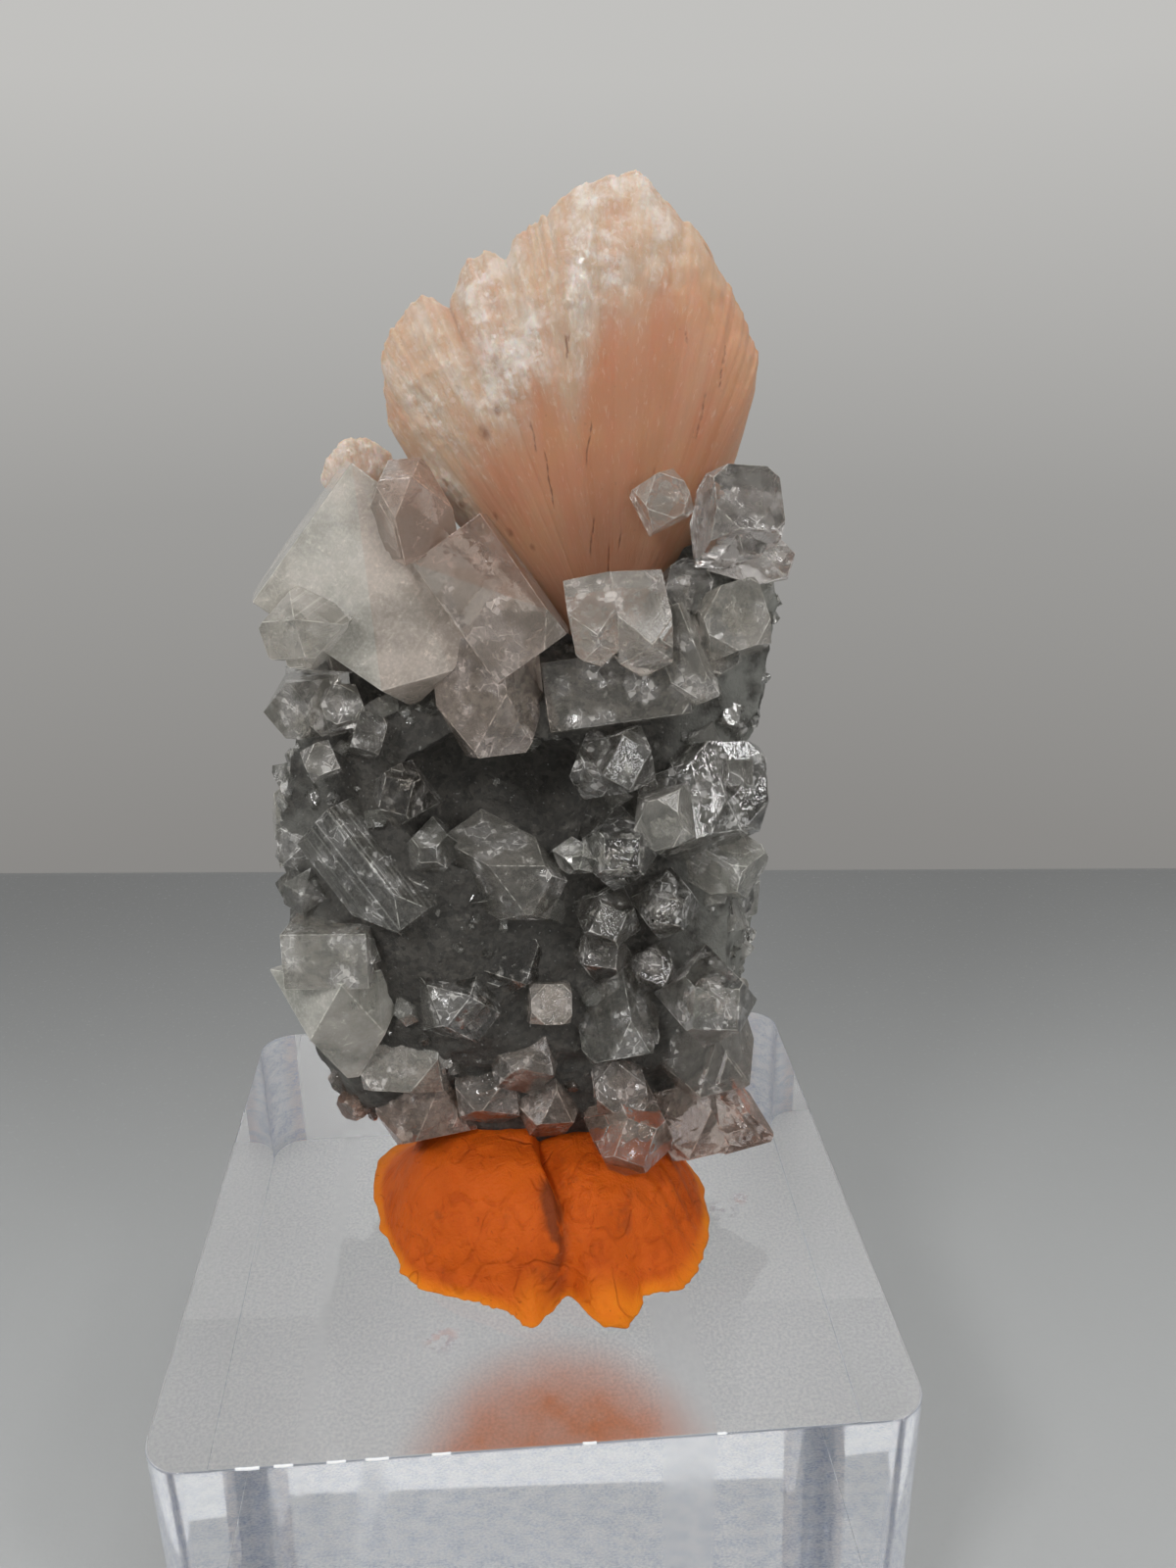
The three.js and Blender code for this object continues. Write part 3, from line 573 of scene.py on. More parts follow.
def stilbite_material(name, settings, depth, pale, frost):
    """Stilbite: pearly and translucent, peach inside and frosted white where its blades end, with painted
    shade toward its base and painted glints on its shiny grains.
    """
    look = Look(name)
    white, deep, dark, streak, low = (look.layer(layer) for layer in SHEAF_LAYERS)
    blade = look.layer("blade", "Vector")
    fine = look.raw_noise(blade, 2.2, 4.0, 0.7, 0.4)
    broad = look.raw_noise(blade, 0.45, 4.0)
    grains = look.noise(0.3, 3)
    clumps = look.noise(3.4, 4, 0.6, 0.5).between(0.46, 0.66)
    shine = look.random(look.cells(0.4, output="Color"), 1).between(0.8, 0.97)
    tone = look.coats(
        pale,
        (deep, settings.stilbite_deep),
        (streak * 0.16, (0.76, 0.5, 0.36)),
        (look.noise(12, 2).between(0.4, 0.65) * 0.3, (0.7, 0.4, 0.2)),
        (broad.between(0.42, 0.66) * 0.3, (0.62, 0.25, 0.15)),
        (white * (0.35 + 0.65 * fine.between(0.4, 0.66)), frost),
        ((1 - broad).between(0.5, 0.62) * white * 0.45, (0.8, 0.74, 0.68)),
        (clumps * white.between(0.15, 0.7) * 0.65, (0.84, 0.78, 0.73)),
        (fine.between(0.56, 0.72) * (0.2 + 0.3 * white), (0.88, 0.76, 0.66)),
        ((1 - fine).between(0.56, 0.74) * (0.4 + 0.1 * white), (0.5, 0.3, 0.2)),
        # painted shade toward the base of the sheaf
        (low * 0.82, (0.28, 0.125, 0.075)),
        (look.noise(0.5, 1).between(0.73, 0.78) * (1 - 0.7 * white) * 0.3, (0.3, 0.16, 0.09)),
        (dark * look.noise(0.8, 2).between(0.3, 0.55, 0.35, 0.9), (0.24, 0.1, 0.055)),
        # painted glints: pale colour on the shiny grains of the frost, besides their real coat
        (shine * white * 0.32, (0.97, 0.94, 0.9)))
    height = fine * (0.35 + 0.65 * white) + grains * (0.1 + 0.7 * white) + clumps * white * 0.6
    return look.finish(look.surface({
        "Base Color": tone, "Roughness": 0.45 + 0.15 * grains - 0.2 * shine * white, "IOR": 1.5,
        "Subsurface Weight": 0.7, "Subsurface Radius": (1.0, 0.5, 0.3), "Subsurface Scale": depth * MM,
        "Coat Weight": (0.15 + 0.6 * white) * shine, "Coat Roughness": 0.18,
        "Normal": look.bump(height, 0.12)}))


def apophyllite_material(name, settings, tint, density):
    """Apophyllite: glassy, with haze, broken patches, dull faces and fine lines along it; pale edges that
    stand for wear and a painted highlight, painted sparkles in the broken patches, and a painted pinkish
    reflection of the putty toward the foot.
    """
    look = Look(name)
    milk, warm, smoky, edge, frost, lined = (look.layer(layer) for layer in CRYSTAL_LAYERS)
    along = look.vector("DOT_PRODUCT", look.place(), look.layer("across", "Vector"), "Value") * (1 / MM)
    lines = look.node("ShaderNodeTexNoise", {"noise_dimensions": "1D"},
                      {"W": along, "Scale": 2.2, "Detail": 3.0, "Roughness": 0.65}, "Fac")
    fibres = lines.between(0.5, 0.72) * lined
    haze = look.noise(5.0, 3, 0.5).between(0.3, 0.7)
    grain = look.noise(0.35, 3, 0.6).between(0.38, 0.72)
    flaw = look.noise(1.4, 4, 0.7, 0.8).between(0.58, 0.66)
    paleness_and_painted_light = look.noise(0.9, 3, 0.6).between(0.42, 0.6)
    broken = look.noise(3.2, 2, 0.5).between(0.48, 0.6) * (1 - milk.between(0.3, 0.6, 0, 0.85))
    shards = look.cells(1.5, output="Color")
    splits = 1 - look.cells(1.5, feature="DISTANCE_TO_EDGE").between(0.0, 0.05)
    splinters = look.cells(0.6, output="Color")
    # painted sparkles: pale specks in the broken patches that stand for glints
    painted_sparkle = look.random(splinters).between(0.8, 0.95) * broken
    # the milky share: real haze and flaws, plus painted edge highlights and painted sparkles
    haze_and_painted_light = milk ** 1.7 * (0.65 + 0.5 * haze + 0.12 * grain) + frost * (0.07 + 0.08 * grain)
    # pale edges: wear, and painted edge highlights
    haze_and_painted_light = haze_and_painted_light + flaw * (0.08 + 0.25 * grain) + edge * (0.08 + 0.34 * paleness_and_painted_light) + fibres * 0.22
    haze_and_painted_light = haze_and_painted_light + broken * (0.11 * look.random(shards) + splits * paleness_and_painted_light * 0.36) + painted_sparkle * 0.3
    height = lines * lined * 2.4 + look.noise(0.8, 2, 0.6, 0.8) * 0.7 + grain * (0.12 + 0.3 * frost)
    tilt = look.blend(look.noise(1.6, 2).between(0.45, 0.55), shards, splinters)
    tilt = look.vector("MULTIPLY", look.vector("SUBTRACT", tilt, (0.5, 0.5, 0.5)),
                       look.blend(broken, (0.0, 0.0, 0.0), (0.5, 0.5, 0.5)))
    facing = look.node("ShaderNodeNewGeometry", {}, {}, "Normal")
    normal = look.bump(height, 0.03, look.vector("NORMALIZE", look.vector("ADD", facing, tilt)))
    # the pinkish tint holds the crystals' own tint and a painted reflection of the putty toward the foot
    clean = look.coats((0.955, 0.94, 0.91), (warm, (0.92, 0.735, 0.62)), (smoky, (0.74, 0.71, 0.7)))
    body = look.coats((0.6, 0.605, 0.535), (haze, (0.74, 0.715, 0.65)), (broken, (0.9, 0.885, 0.845)),
                      (warm, (0.58, 0.35, 0.26)))
    shared = {"IOR": settings.apophyllite_ior, "Normal": normal}
    polish = 0.015 + 0.06 * flaw + 0.1 * frost
    glass = look.surface({"Base Color": clean, "Roughness": polish, "Transmission Weight": 1.0, **shared})
    milky = look.surface({"Base Color": body, "Roughness": 0.16, **shared})
    return look.finish(look.shade(haze_and_painted_light, glass, milky), look.absorbing(tint, density))


def floor_material(settings):
    """A matt grey table with painted shade that darkens it toward its far edge."""
    look = Look("grey_table")
    tone = look.coats(
        settings.floor,
        (look.noise(60, 3) * 0.5, tuple(0.88 * value for value in settings.floor)),
        # painted shade: the table darkens toward its far edge
        (look.along("Y").between(-0.06, 0.2) * 0.72, (0.05, 0.052, 0.053)),
        (look.noise(0.7, 2).between(0.6, 0.75) * 0.25, (0.42, 0.43, 0.44)))
    return look.finish(look.surface({
        "Base Color": tone, "Roughness": 0.5, "Normal": look.bump(look.noise(0.5, 3), 0.03)}))


# ---- Crystals ----

QUARTERS = ((1, 1), (-1, 1), (-1, -1), (1, -1))
NOTHING = 1e-6  # a smaller volume or distance counts as none
SAME_CORNER = 1e-3
ON_FACE = 1e-4


def crystal_axes(turn, toward, spin):
    """A crystal's long axis and the two axes across it, from degrees."""
    turn, toward, spin = (math.radians(value) for value in (turn, toward, spin))
    axis = np.array([math.cos(turn) * math.cos(toward), -math.sin(toward), math.sin(turn) * math.cos(toward)])
    return (axis, *across_axes(axis, spin))


def across_axes(axis, spin):
    """Two directions across an axis and square to each other, spun about it."""
    side = unit(np.array([-axis[2], 0.0, axis[0]]))
    front = np.cross(side, axis)
    return front * math.cos(spin) + side * math.sin(spin), side * math.cos(spin) - front * math.sin(spin)


class Crystal:
    """A square prism with a flat base face, its corners cut by the four pyramid faces.

    Its tip is the middle of the base face, and its axes are the way that it points and two directions across.
    Its small irregularities are drawn from its index.
    """

    def __init__(self, tip, axes, width, ratio, blunt, length, index, milk, lined):
        self.tip = np.asarray(tip, float)
        self.axis, self.first, self.second = axes
        self.width, self.ratio, self.blunt, self.length = width, ratio, blunt, length
        self.index, self.milk, self.lined = index, milk, lined
        self.normals, self.reaches = self._planes()

    def _planes(self):
        normals = [self.first, self.second, -self.first, -self.second]
        ratios = [self.ratio, 1, self.ratio, 1]
        reaches = [self.width * ratio * (1 + UNEVEN_PRISM * scatter(self.index, face))
                   for face, ratio in enumerate(ratios)]
        mean = self.width * (1 + self.ratio) / 2
        rise = 1 / math.hypot(1, SLOPE)
        for face, (a, b) in enumerate(QUARTERS):
            outward = (self.first * a + self.second * b) * math.sqrt(0.5)
            normals.append(outward * SLOPE * rise + self.axis * rise)
            apex = mean * (self.blunt * (1 + UNEVEN_PYRAMID * scatter(self.index, face + 4))
                           + UNEVEN_APEX * scatter(self.index, face + 8))
            reaches.append(apex * rise)
        return np.array(normals + [self.axis, -self.axis]), np.array(reaches + [0.0, self.length])

    def outside(self, points):
        """How far each point is outside the crystal, negative inside."""
        return ((points - self.tip) @ self.normals.T - self.reaches).max(axis=1)

    def corners_and_faces(self):
        """Its corners, and each face as the numbers of its corners in order."""
        corners = []
        on_face = [[] for _ in self.reaches]
        for rows in map(list, combinations(range(len(self.reaches)), 3)):
            if abs(np.linalg.det(self.normals[rows])) < NOTHING:
                continue
            corner = np.linalg.solve(self.normals[rows], self.reaches[rows])
            beyond = self.normals @ corner - self.reaches
            if beyond.max() > NOTHING:
                continue
            near = [k for k, known in enumerate(corners) if np.linalg.norm(known - corner) < SAME_CORNER]
            number = near[0] if near else len(corners)
            if not near:
                corners.append(corner)
            for face in np.nonzero(beyond > -ON_FACE)[0]:
                if number not in on_face[face]:
                    on_face[face].append(number)
        corners = np.array(corners)
        faces = []
        for normal, numbers in zip(self.normals, on_face):
            if len(numbers) > 2:
                away = corners[numbers] - corners[numbers].mean(axis=0)
                start = unit(away[0])
                aside = np.cross(normal, start)
                turn = [math.atan2(row @ aside, row @ start) for row in away]
                faces.append([numbers[k] for k in np.argsort(turn)])
        return corners + self.tip, faces

    def bevelled(self, edge):
        """The crystal as a mesh with slightly rounded edges."""
        corners, faces = self.corners_and_faces()
        shape = bmesh.new()
        made = [shape.verts.new(corner * MM) for corner in corners]
        for face in faces:
            shape.faces.new([made[k] for k in face])
        bmesh.ops.bevel(shape, geom=shape.edges[:], offset=edge * (0.7 + 0.1 * self.width) * MM, segments=2,
                        profile=0.6, affect="EDGES", clamp_overlap=True)
        bmesh.ops.remove_doubles(shape, verts=shape.verts[:], dist=1e-7)
        bmesh.ops.triangulate(shape, faces=shape.faces[:])
        mesh = bpy.data.meshes.new("crystal")
        shape.to_mesh(mesh)
        shape.free()
        return mesh


def placed_crystals():
    return [Crystal(row[:3], crystal_axes(*row[3:6]), *row[6:10], index, *row[10:])
            for index, row in enumerate(CRYSTALS)]


def rock_fractures():
    """The flat fractures of the rock's main lump: their normals and how far they are from its middle."""
    index = np.arange(ROCK_FACETS)
    height = 1 - (2 * index + 1) / ROCK_FACETS
    turn = index * math.pi * (3 - math.sqrt(5))
    reach = np.sqrt(1 - height * height)
    normals = np.stack([reach * np.cos(turn), reach * np.sin(turn), height], axis=1)
    dual = ROCK_SQUARENESS / (ROCK_SQUARENESS - 1)
    support = (np.abs(normals * ROCK_HALF) ** dual).sum(axis=1) ** (1 / dual)
    least, most = ROCK_BROKEN
    broken = [least + (most - least) * (scatter(k, ROCK_FACETS) + 1) / 2 for k in index]
    return normals, support * broken


def side_crystals():
    """Groups of crystals grown together on the sides and the back of the rock."""
    normals, distances = rock_fractures()
    made = []
    for index in range(SIDE_GROUPS * SIDE_IN_GROUP):
        group, member = divmod(index, SIDE_IN_GROUP)
        turn = math.radians(SIDE_TURN[0] + (SIDE_TURN[1] - SIDE_TURN[0]) * (((group + 1) * GOLDEN) % 1))
        climb = SIDE_HEIGHT[0] + (SIDE_HEIGHT[1] - SIDE_HEIGHT[0]) * (group + 0.5) / SIDE_GROUPS
        around = member * 2.4 + group
        step = SIDE_APART if member else 0
        direction = unit(np.array([ROCK_HALF[0] * math.cos(turn), ROCK_HALF[1] * math.sin(turn), 0]))
        start = np.array([0, 0, climb - ROCK_MIDDLE[2] + step * math.sin(around)])
        start += np.array([-direction[1], direction[0], 0]) * step * math.cos(around)
        ahead = normals @ direction
        reach = np.where(ahead > 0, (distances - normals @ start) / np.where(ahead > 0, ahead, 1), np.inf)
        face = int(np.argmin(reach))
        place = start + direction * reach[face] + ROCK_MIDDLE
        axis = unit(normals[face] + 0.5 * np.array([scatter(index, salt) for salt in (21, 22, 23)]))
        behind = abs(math.sin(turn))
        width = (SIDE_SMALL if member else SIDE_LARGE) * (1 + 0.25 * scatter(index, 26))
        width *= SIDE_NARROWEST + (1 - SIDE_NARROWEST) * behind
        axes = (axis, *across_axes(axis, math.pi * scatter(index, 24)))
        tip = place + SIDE_STAND_OUT * behind * width * axis
        made.append(Crystal(tip, axes, width, 1, 1.3 + 0.7 * scatter(index, 25), 2.6 * width,
                            len(CRYSTALS) + index, 0.3 + 0.2 * scatter(index, 27), 0.2))
    return made


TERRACED = (2.4, 5.5)  # crystals of these half widths have low steps on their faces
TERRACES = 2
TERRACE_NUMBERS = 500  # where the indices of the terraces start


def terraces(crystal):
    """Thin blocks in parallel growth on a large crystal's faces, which leave low steps on them."""
    made = []
    low, high = TERRACED
    for k in range(TERRACES if low < crystal.width < high else 0):
        number = crystal.index * 7 + k
        a, b, c, d = (scatter(number, salt) for salt in (41, 42, 43, 44))
        width = crystal.width * (0.5 + 0.2 * a)
        outward = crystal.width - width + crystal.width * 0.008 + 0.03 + 0.03 * c
        aside = b * (crystal.width - width)
        first, second = (outward, aside) if k % 2 else (aside, outward)
        tip = crystal.tip + crystal.first * crystal.ratio * first + crystal.second * second
        tip = tip - crystal.axis * crystal.width * (0.1 + 0.35 * abs(d) + 0.15 * (2 - crystal.blunt))
        axes = (crystal.axis, crystal.first, crystal.second)
        made.append(Crystal(tip, axes, width, crystal.ratio, crystal.blunt, crystal.length * 0.7,
                            number + TERRACE_NUMBERS, crystal.milk, crystal.lined))
    return made


CRACKED_FROM = 1.8  # the half width of the smallest crystals with cracks inside
CRACK_POINTS = 16
CRACK_COVER = 0.15  # how deep under the crystal's faces a crack stays
CRACK_TRIES = 6
CRACK_SEED = 900


def cracks(crystal):
    """Thin flat cavities inside a crystal, nearly square to its axis as apophyllite splits."""
    rng = np.random.default_rng(CRACK_SEED + crystal.index)
    places, faces = [], []
    for k in range(int(rng.integers(1, 4)) if crystal.width >= CRACKED_FROM else 0):
        depth = crystal.width * (0.3 + 0.33 * k + 0.12 * rng.random())
        aside = crystal.first * rng.uniform(-1, 1) + crystal.second * rng.uniform(-1, 1)
        centre = crystal.tip - crystal.axis * depth + aside * 0.4 * crystal.width
        normal = unit(crystal.axis + 0.14 * (crystal.first * rng.normal() + crystal.second * rng.normal()))
        side = unit(np.cross(normal, crystal.first))
        turn = np.linspace(0, 2 * math.pi, CRACK_POINTS, endpoint=False)
        outline = rng.uniform(0.6, 1.0, CRACK_POINTS)
        wave = rng.normal(size=CRACK_POINTS) * 0.05
        size = crystal.width * rng.uniform(0.35, 0.75)
        other = np.cross(side, normal)
        flat = (outline * np.cos(turn))[:, None] * side + (outline * np.sin(turn))[:, None] * other
        for _ in range(CRACK_TRIES):
            ring = centre + size * flat + normal * (wave * size)[:, None]
            if crystal.outside(ring).max() < -CRACK_COVER:
                break
            size *= 0.75
        else:
            continue
        wave = rng.normal(size=CRACK_POINTS) * 0.03
        inner = centre + 0.55 * (ring - centre) + normal * (wave * size)[:, None]
        half = normal * (0.018 + 0.01 * rng.random())
        first = len(places)
        places += [*ring, *(inner + half), *(inner - half), centre + half, centre - half]
        upper, lower = CRACK_POINTS, 2 * CRACK_POINTS
        top, bottom = first + 3 * CRACK_POINTS, first + 3 * CRACK_POINTS + 1
        for m in range(CRACK_POINTS):
            a, b = first + m, first + (m + 1) % CRACK_POINTS
            faces += [(a, a + upper, b + upper), (a, b + upper, b), (a + upper, top, b + upper)]
            faces += [(a, b + lower, a + lower), (a, b, b + lower), (a + lower, b + lower, bottom)]
    return places, faces


def split(thing, crystals):
    """Adds the cracks of the crystals to their piece, as closed cavities."""
    shape = bmesh.new()
    shape.from_mesh(thing.data)
    for crystal in crystals:
        places, faces = cracks(crystal)
        made = [shape.verts.new(place * MM) for place in np.array(places).reshape(-1, 3)]
        for face in faces:
            shape.faces.new([made[k] for k in face])
    shape.to_mesh(thing.data)
    shape.free()


def union(name, meshes):
    """One mesh of all the closed meshes joined."""
    things = [bpy.data.objects.new(name, mesh) for mesh in meshes]
    for thing in things:
        bpy.context.scene.collection.objects.link(thing)
    whole = things[0]
    for thing in things[1:]:
        join = whole.modifiers.new("join", "BOOLEAN")
        join.operation = "UNION"
        join.solver = "MANIFOLD"
        join.object = thing
    bpy.context.view_layer.update()
    with_modifiers(whole)
    for thing in things[1:]:
        bpy.data.objects.remove(thing)
    whole.name = name
    return whole


def crystal_layers(thing, crystals):
    """Tells the material about each face's crystal: its haze, its tints with the painted reflection of the
    putty toward the foot, its pale edges with their painted highlights, its dull faces and its lines.
    """
    mesh = thing.data
    centres = vectors_of(mesh.polygons, "center") / MM
    facing = vectors_of(mesh.polygons, "normal")
    x, _, z = centres.T
    away = np.stack([np.abs(crystal.outside(centres)) for crystal in crystals], axis=1)
    owner = away.argmin(axis=1)
    edge, frost = np.zeros(len(x)), np.zeros(len(x))
    for number, crystal in enumerate(crystals):
        own = owner == number
        gaps = (centres[own] - crystal.tip) @ crystal.normals.T - crystal.reaches
        # edge faces, painted pale for wear and for a highlight
        edge[own] = np.sort(gaps, axis=1)[:, -2] > -WORN_AND_HIGHLIT_EDGE
        dull = [smooth(0.3, 0.9, scatter(crystal.index * 17 + k, 71)) for k in range(len(crystal.reaches))]
        frost[own] = np.array(dull)[gaps.argmax(axis=1)]
    milk, lined, axes, pink, grey = (np.array(values)[owner] for values in zip(*(
        (crystal.milk, crystal.lined, crystal.axis, max(0, 0.35 * scatter(crystal.index, 73)),
         smooth(0.2, 0.9, scatter(crystal.index, 75)) * (crystal.milk < 0.28)) for crystal in crystals)))
    along = np.abs((facing * axes).sum(axis=1))
    across = np.cross(facing, axes)
    length = np.linalg.norm(across, axis=1, keepdims=True)
    near_bud = smooth(-15, -6, x) * (1 - smooth(2, 7, x)) * smooth(90, 97, z)
    blush = pink * (1 - 0.8 * smooth(66, 80, z)) + near_bud * (0.3 + 0.5 * smooth(112, 120, z))
    # painted reflection of the orange putty on the crystals toward the foot, over their own pinkish tint
    warm = np.maximum(1 - smooth(*PAINTED_PUTTY_GLOW_HEIGHTS, z), blush + 0.1 * smooth(94, 104, z))
    shoulder = smooth(19, 22, x) * smooth(110, 116, z)
    clear_low = 0.5 * (milk < 0.34) * (1 - smooth(98, 106, z))
    smoky = np.maximum(np.maximum(grey, shoulder), clear_low)
    lined = np.where(along < 0.3, lined, 0.4 * lined)
    for name, values in zip(CRYSTAL_LAYERS, (milk, warm, smoky, edge, frost, lined)):
        value_layer(mesh, name, values, "FACE")
    vector_layer(mesh, "across", np.where(length > 1e-3, across / np.maximum(length, 1e-3), (1, 0, 0)))


def groups_of(crystals):
    """The crystals of each apophyllite solid of the frame, by the solid nearest to each crystal's tip."""
    nodes = sorted(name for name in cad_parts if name.startswith("apophyllite"))
    groups = {name: [] for name in nodes}
    for crystal in crystals:
        corners, _ = crystal.corners_and_faces()
        front = corners[np.argsort(-(corners - crystal.tip) @ crystal.axis)[:4]]
        inner = front * 0.9 + 0.1 * (crystal.tip - crystal.axis * 0.5 * crystal.width)

        def distance(name):
            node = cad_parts[name]
            places = [Vector(place * MM) for place in inner]
            return sum((node.closest_point_on_mesh(place)[1] - place).length for place in places)

        groups[min(nodes, key=distance)].append(crystal)
    return groups


# ---- Rock ----

def rock_thing(material, voxel, crystals):
    """The rock with broken, grainy surfaces, and a pale crust where crystals sit on it."""
    thing = remeshed_copy("basalt_matrix", "basalt_rock", voxel)
    mesh = thing.data
    places = vectors_of(mesh.vertices, "co") / MM
    broad = layered_noise(places, 8, 2, 111)
    chips = np.abs(noise_at(places, 3.2, 121)) + 0.6 * np.abs(noise_at(places, 1.5, 122))
    fine = layered_noise(places, 0.9, 2, 131)
    rise = 0.5 * broad - 0.55 * chips + 0.13 * fine
    places = places + vectors_of(mesh.vertex_normals, "vector") * rise[:, None]
    mesh.vertices.foreach_set("co", (places * MM).ravel())
    mesh.update()
    under = np.stack([crystal.outside(places) for crystal in crystals], axis=1)
    paleness = np.array([0.02 + 0.75 * smooth(0.14, 0.44, crystal.milk) + 0.15 * scatter(crystal.index, 61)
                         for crystal in crystals])
    value_layer(mesh, "seat", (1 - smooth(-0.35, 0.05, under.min(axis=1))) * paleness[under.argmin(axis=1)])
    x = places[:, 0]
    value_layer(mesh, "weathered", np.maximum(smooth(14, 22, x), 0.45 * (1 - smooth(-23, -17, x))))
    mesh.materials.append(material)
    return thing


# ---- Stilbite ----

def fan_side(sheaf, angle, reach, distance, low, high, seed):
    """Half thickness over one side of a sheaf, from many narrow blades that end one behind another."""
    rng = np.random.default_rng(seed)
    along = angle[:, 0]
    span = high - low
    across = 2 * (angle - low) / span - 1
    envelope = sheaf["thick"] * (0.42 + 0.58 * smooth(0.05, 0.7, distance / reach.max()))
    envelope = envelope * np.sqrt(np.clip(1 - np.abs(across) ** 2.6, 0, 1))
    depth = np.zeros_like(distance)
    last = np.zeros_like(distance)
    streak = np.zeros_like(distance)
    layers = sheaf["layers"]
    for layer in range(layers):
        share = 1 - 0.9 * layer / (layers - 1)
        count = sheaf["blades"]
        for blade in range(count):
            middle = low + span * (blade + 0.5 + 0.6 * rng.uniform(-1, 1)) / count
            left = np.clip((middle - low) / span, 0, 1)
            half = span / count * rng.uniform(0.6, 1.5)
            rows = slice(*np.searchsorted(along, (middle - half, middle + half)))
            rim = np.interp(middle, along, reach[:, 0])
            zone = 0.09 + 0.2 * smooth(0.15, 0.5, left)
            end = rim * (1 - zone * share ** 1.6 * rng.uniform(0.45, 1.3))
            offset = np.abs(angle[rows] - middle) / half
            end = end - rng.uniform(0.3, 1.3) * sheaf["scale"] * offset ** 1.5
            tip = rng.uniform(0.25, 1.2) * sheaf["scale"]
            height = envelope[rows] * share * (1 + 0.012 * rng.uniform(-1, 1))
            height = height - 0.07 * sheaf["scale"] * offset ** 2
            rise = height * np.clip((end - distance[rows]) / (1.8 * tip), 0, 1) ** 0.7
            front = rise > depth[rows]
            last[rows] = np.where(front, smooth(0.86, 1.0, distance[rows] / end), last[rows])
            streak[rows] = np.where(front, rng.uniform(0, 1), streak[rows])
            depth[rows] = np.maximum(depth[rows], rise)
    body = envelope * np.sqrt(np.clip(1 - np.clip((distance / reach - 0.5) / 0.5, 0, 1) ** 2.4, 0, 1))
    return 0.75 * body + 0.25 * depth, last, streak, envelope


def blurred(values):
    """Values averaged a little with their neighbours along both directions."""
    for ahead in ((1, 0), (0, 1)):
        behind = (-ahead[0], -ahead[1])
        values = 0.5 * values + 0.25 * (np.roll(values, ahead, (0, 1)) + np.roll(values, behind, (0, 1)))
    return values


def stitched(steps, rings):
    """The faces of a front and a back sheet that share their border, and which places of both they use."""
    front = np.arange(steps * rings).reshape(steps, rings)
    border = np.zeros((steps, rings), bool)
    border[0] = border[-1] = border[:, -1] = True
    used = np.concatenate([np.ones(steps * rings, bool), ~border.ravel()])
    renumber = np.cumsum(used) - 1
    back = renumber[np.where(border, front, front + steps * rings)]
    front = renumber[front]
    foot = np.stack([front[:-1, 0], front[1:, 0], back[1:, 0], back[:-1, 0]], axis=1)
    corners = np.concatenate([quads(front)[:, (1, 2, 3, 0)], quads(back)[:, (0, 3, 2, 1)], foot])
    faces = [tuple(dict.fromkeys(face)) for face in corners.tolist()]
    return [face for face in faces if len(face) > 2], used


def fan_thing(name, sheaf, rim, material, finish):
    """A sheaf as one closed mesh: a front and a back that meet along the rim and the two edges."""
    steps, rings, scale, base = sheaf["steps"], sheaf["rings"], sheaf["scale"], sheaf["base"]
    low, high = rim[0][0], rim[-1][0]
    angle = np.repeat(np.linspace(low, high, steps)[:, None], rings, axis=1)
    part = np.repeat(np.linspace(0, 1, rings)[None, :] ** 0.75, steps, axis=0)
    reach = np.interp(angle, *np.transpose(rim))
    flat = np.stack([angle[:, 0], np.zeros(steps), np.zeros(steps)], axis=1)
    teeth = 0.38 * noise_at(flat, 1.0, 3) + 0.25 * noise_at(flat, 0.4, 4)
    reach = reach + teeth[:, None] * scale
    distance = sheaf["start"] + part * (reach - sheaf["start"])
    turn = np.radians(angle)
    x, z = base[0] + distance * np.cos(turn), base[2] + distance * np.sin(turn)
    places, layers, blades = [], [], []

    def noise(rows, size, seed):
        return noise_at(rows, size, seed).reshape(angle.shape)

    for side, sign in ((0, -1), (1, 1)):
        seed = sheaf["seed"] + side
        depth, last, streak, envelope = fan_side(sheaf, angle, reach, distance, low, high, seed)
        depth = blurred(blurred(blurred(depth)))
        cells = np.stack([angle * 1.6, distance * 0.14, np.full_like(angle, side * 9)], axis=2).reshape(-1, 3)
        ridges = 0.1 * noise(cells, 1.0, 11) + 0.07 * noise(cells, 0.42, 12)
        white, deep, dark, recess = finish(angle, distance, reach, last, side)
        around = np.stack([distance * np.cos(turn), depth * sign, distance * np.sin(turn)], axis=2)
        around = around.reshape(-1, 3)
        crumbs = layered_noise(around, 0.9, 3, 21).reshape(angle.shape) + 1.2 * noise(around, 2.6, 22)
        calm = smooth(4, 30, distance)
        edge = smooth(0, 0.06, 1 - part) * np.clip(envelope / (0.3 * sheaf["thick"]), 0, 1)
        depth = depth + edge * (ridges * calm * (0.5 - 0.3 * deep) + 0.2 * crumbs * white - recess) * scale
        depth = np.maximum(depth, 0.05) * np.where((part >= 1) | (angle <= low) | (angle >= high), 0, 1)
        jitter = 0.06 * white * edge * scale
        places.append(np.stack([x + jitter * noise(around, 0.6, 31), base[1] + sign * depth,
                                z + jitter * noise(around, 0.6, 32)], axis=2))
        # the last layer darkens toward the base as painted shade
        layers.append((white, deep, dark, streak, 1 - smooth(3, 26, distance)))
        blades.append(np.stack([angle * 0.7 * scale, distance * 0.34, depth * 0.3 * sign], axis=2))
    faces, used = stitched(steps, rings)

    def both(sides, *row):
        return np.concatenate([side.reshape(-1, *row) for side in sides])[used]

    thing = mesh_object(name, both(places, 3), faces, material)
    for layer, sides in zip(SHEAF_LAYERS, zip(*layers)):
        value_layer(thing.data, layer, both(sides))
    vector_layer(thing.data, "blade", both(blades, 3), "POINT")
    face_outward(thing)
    return thing


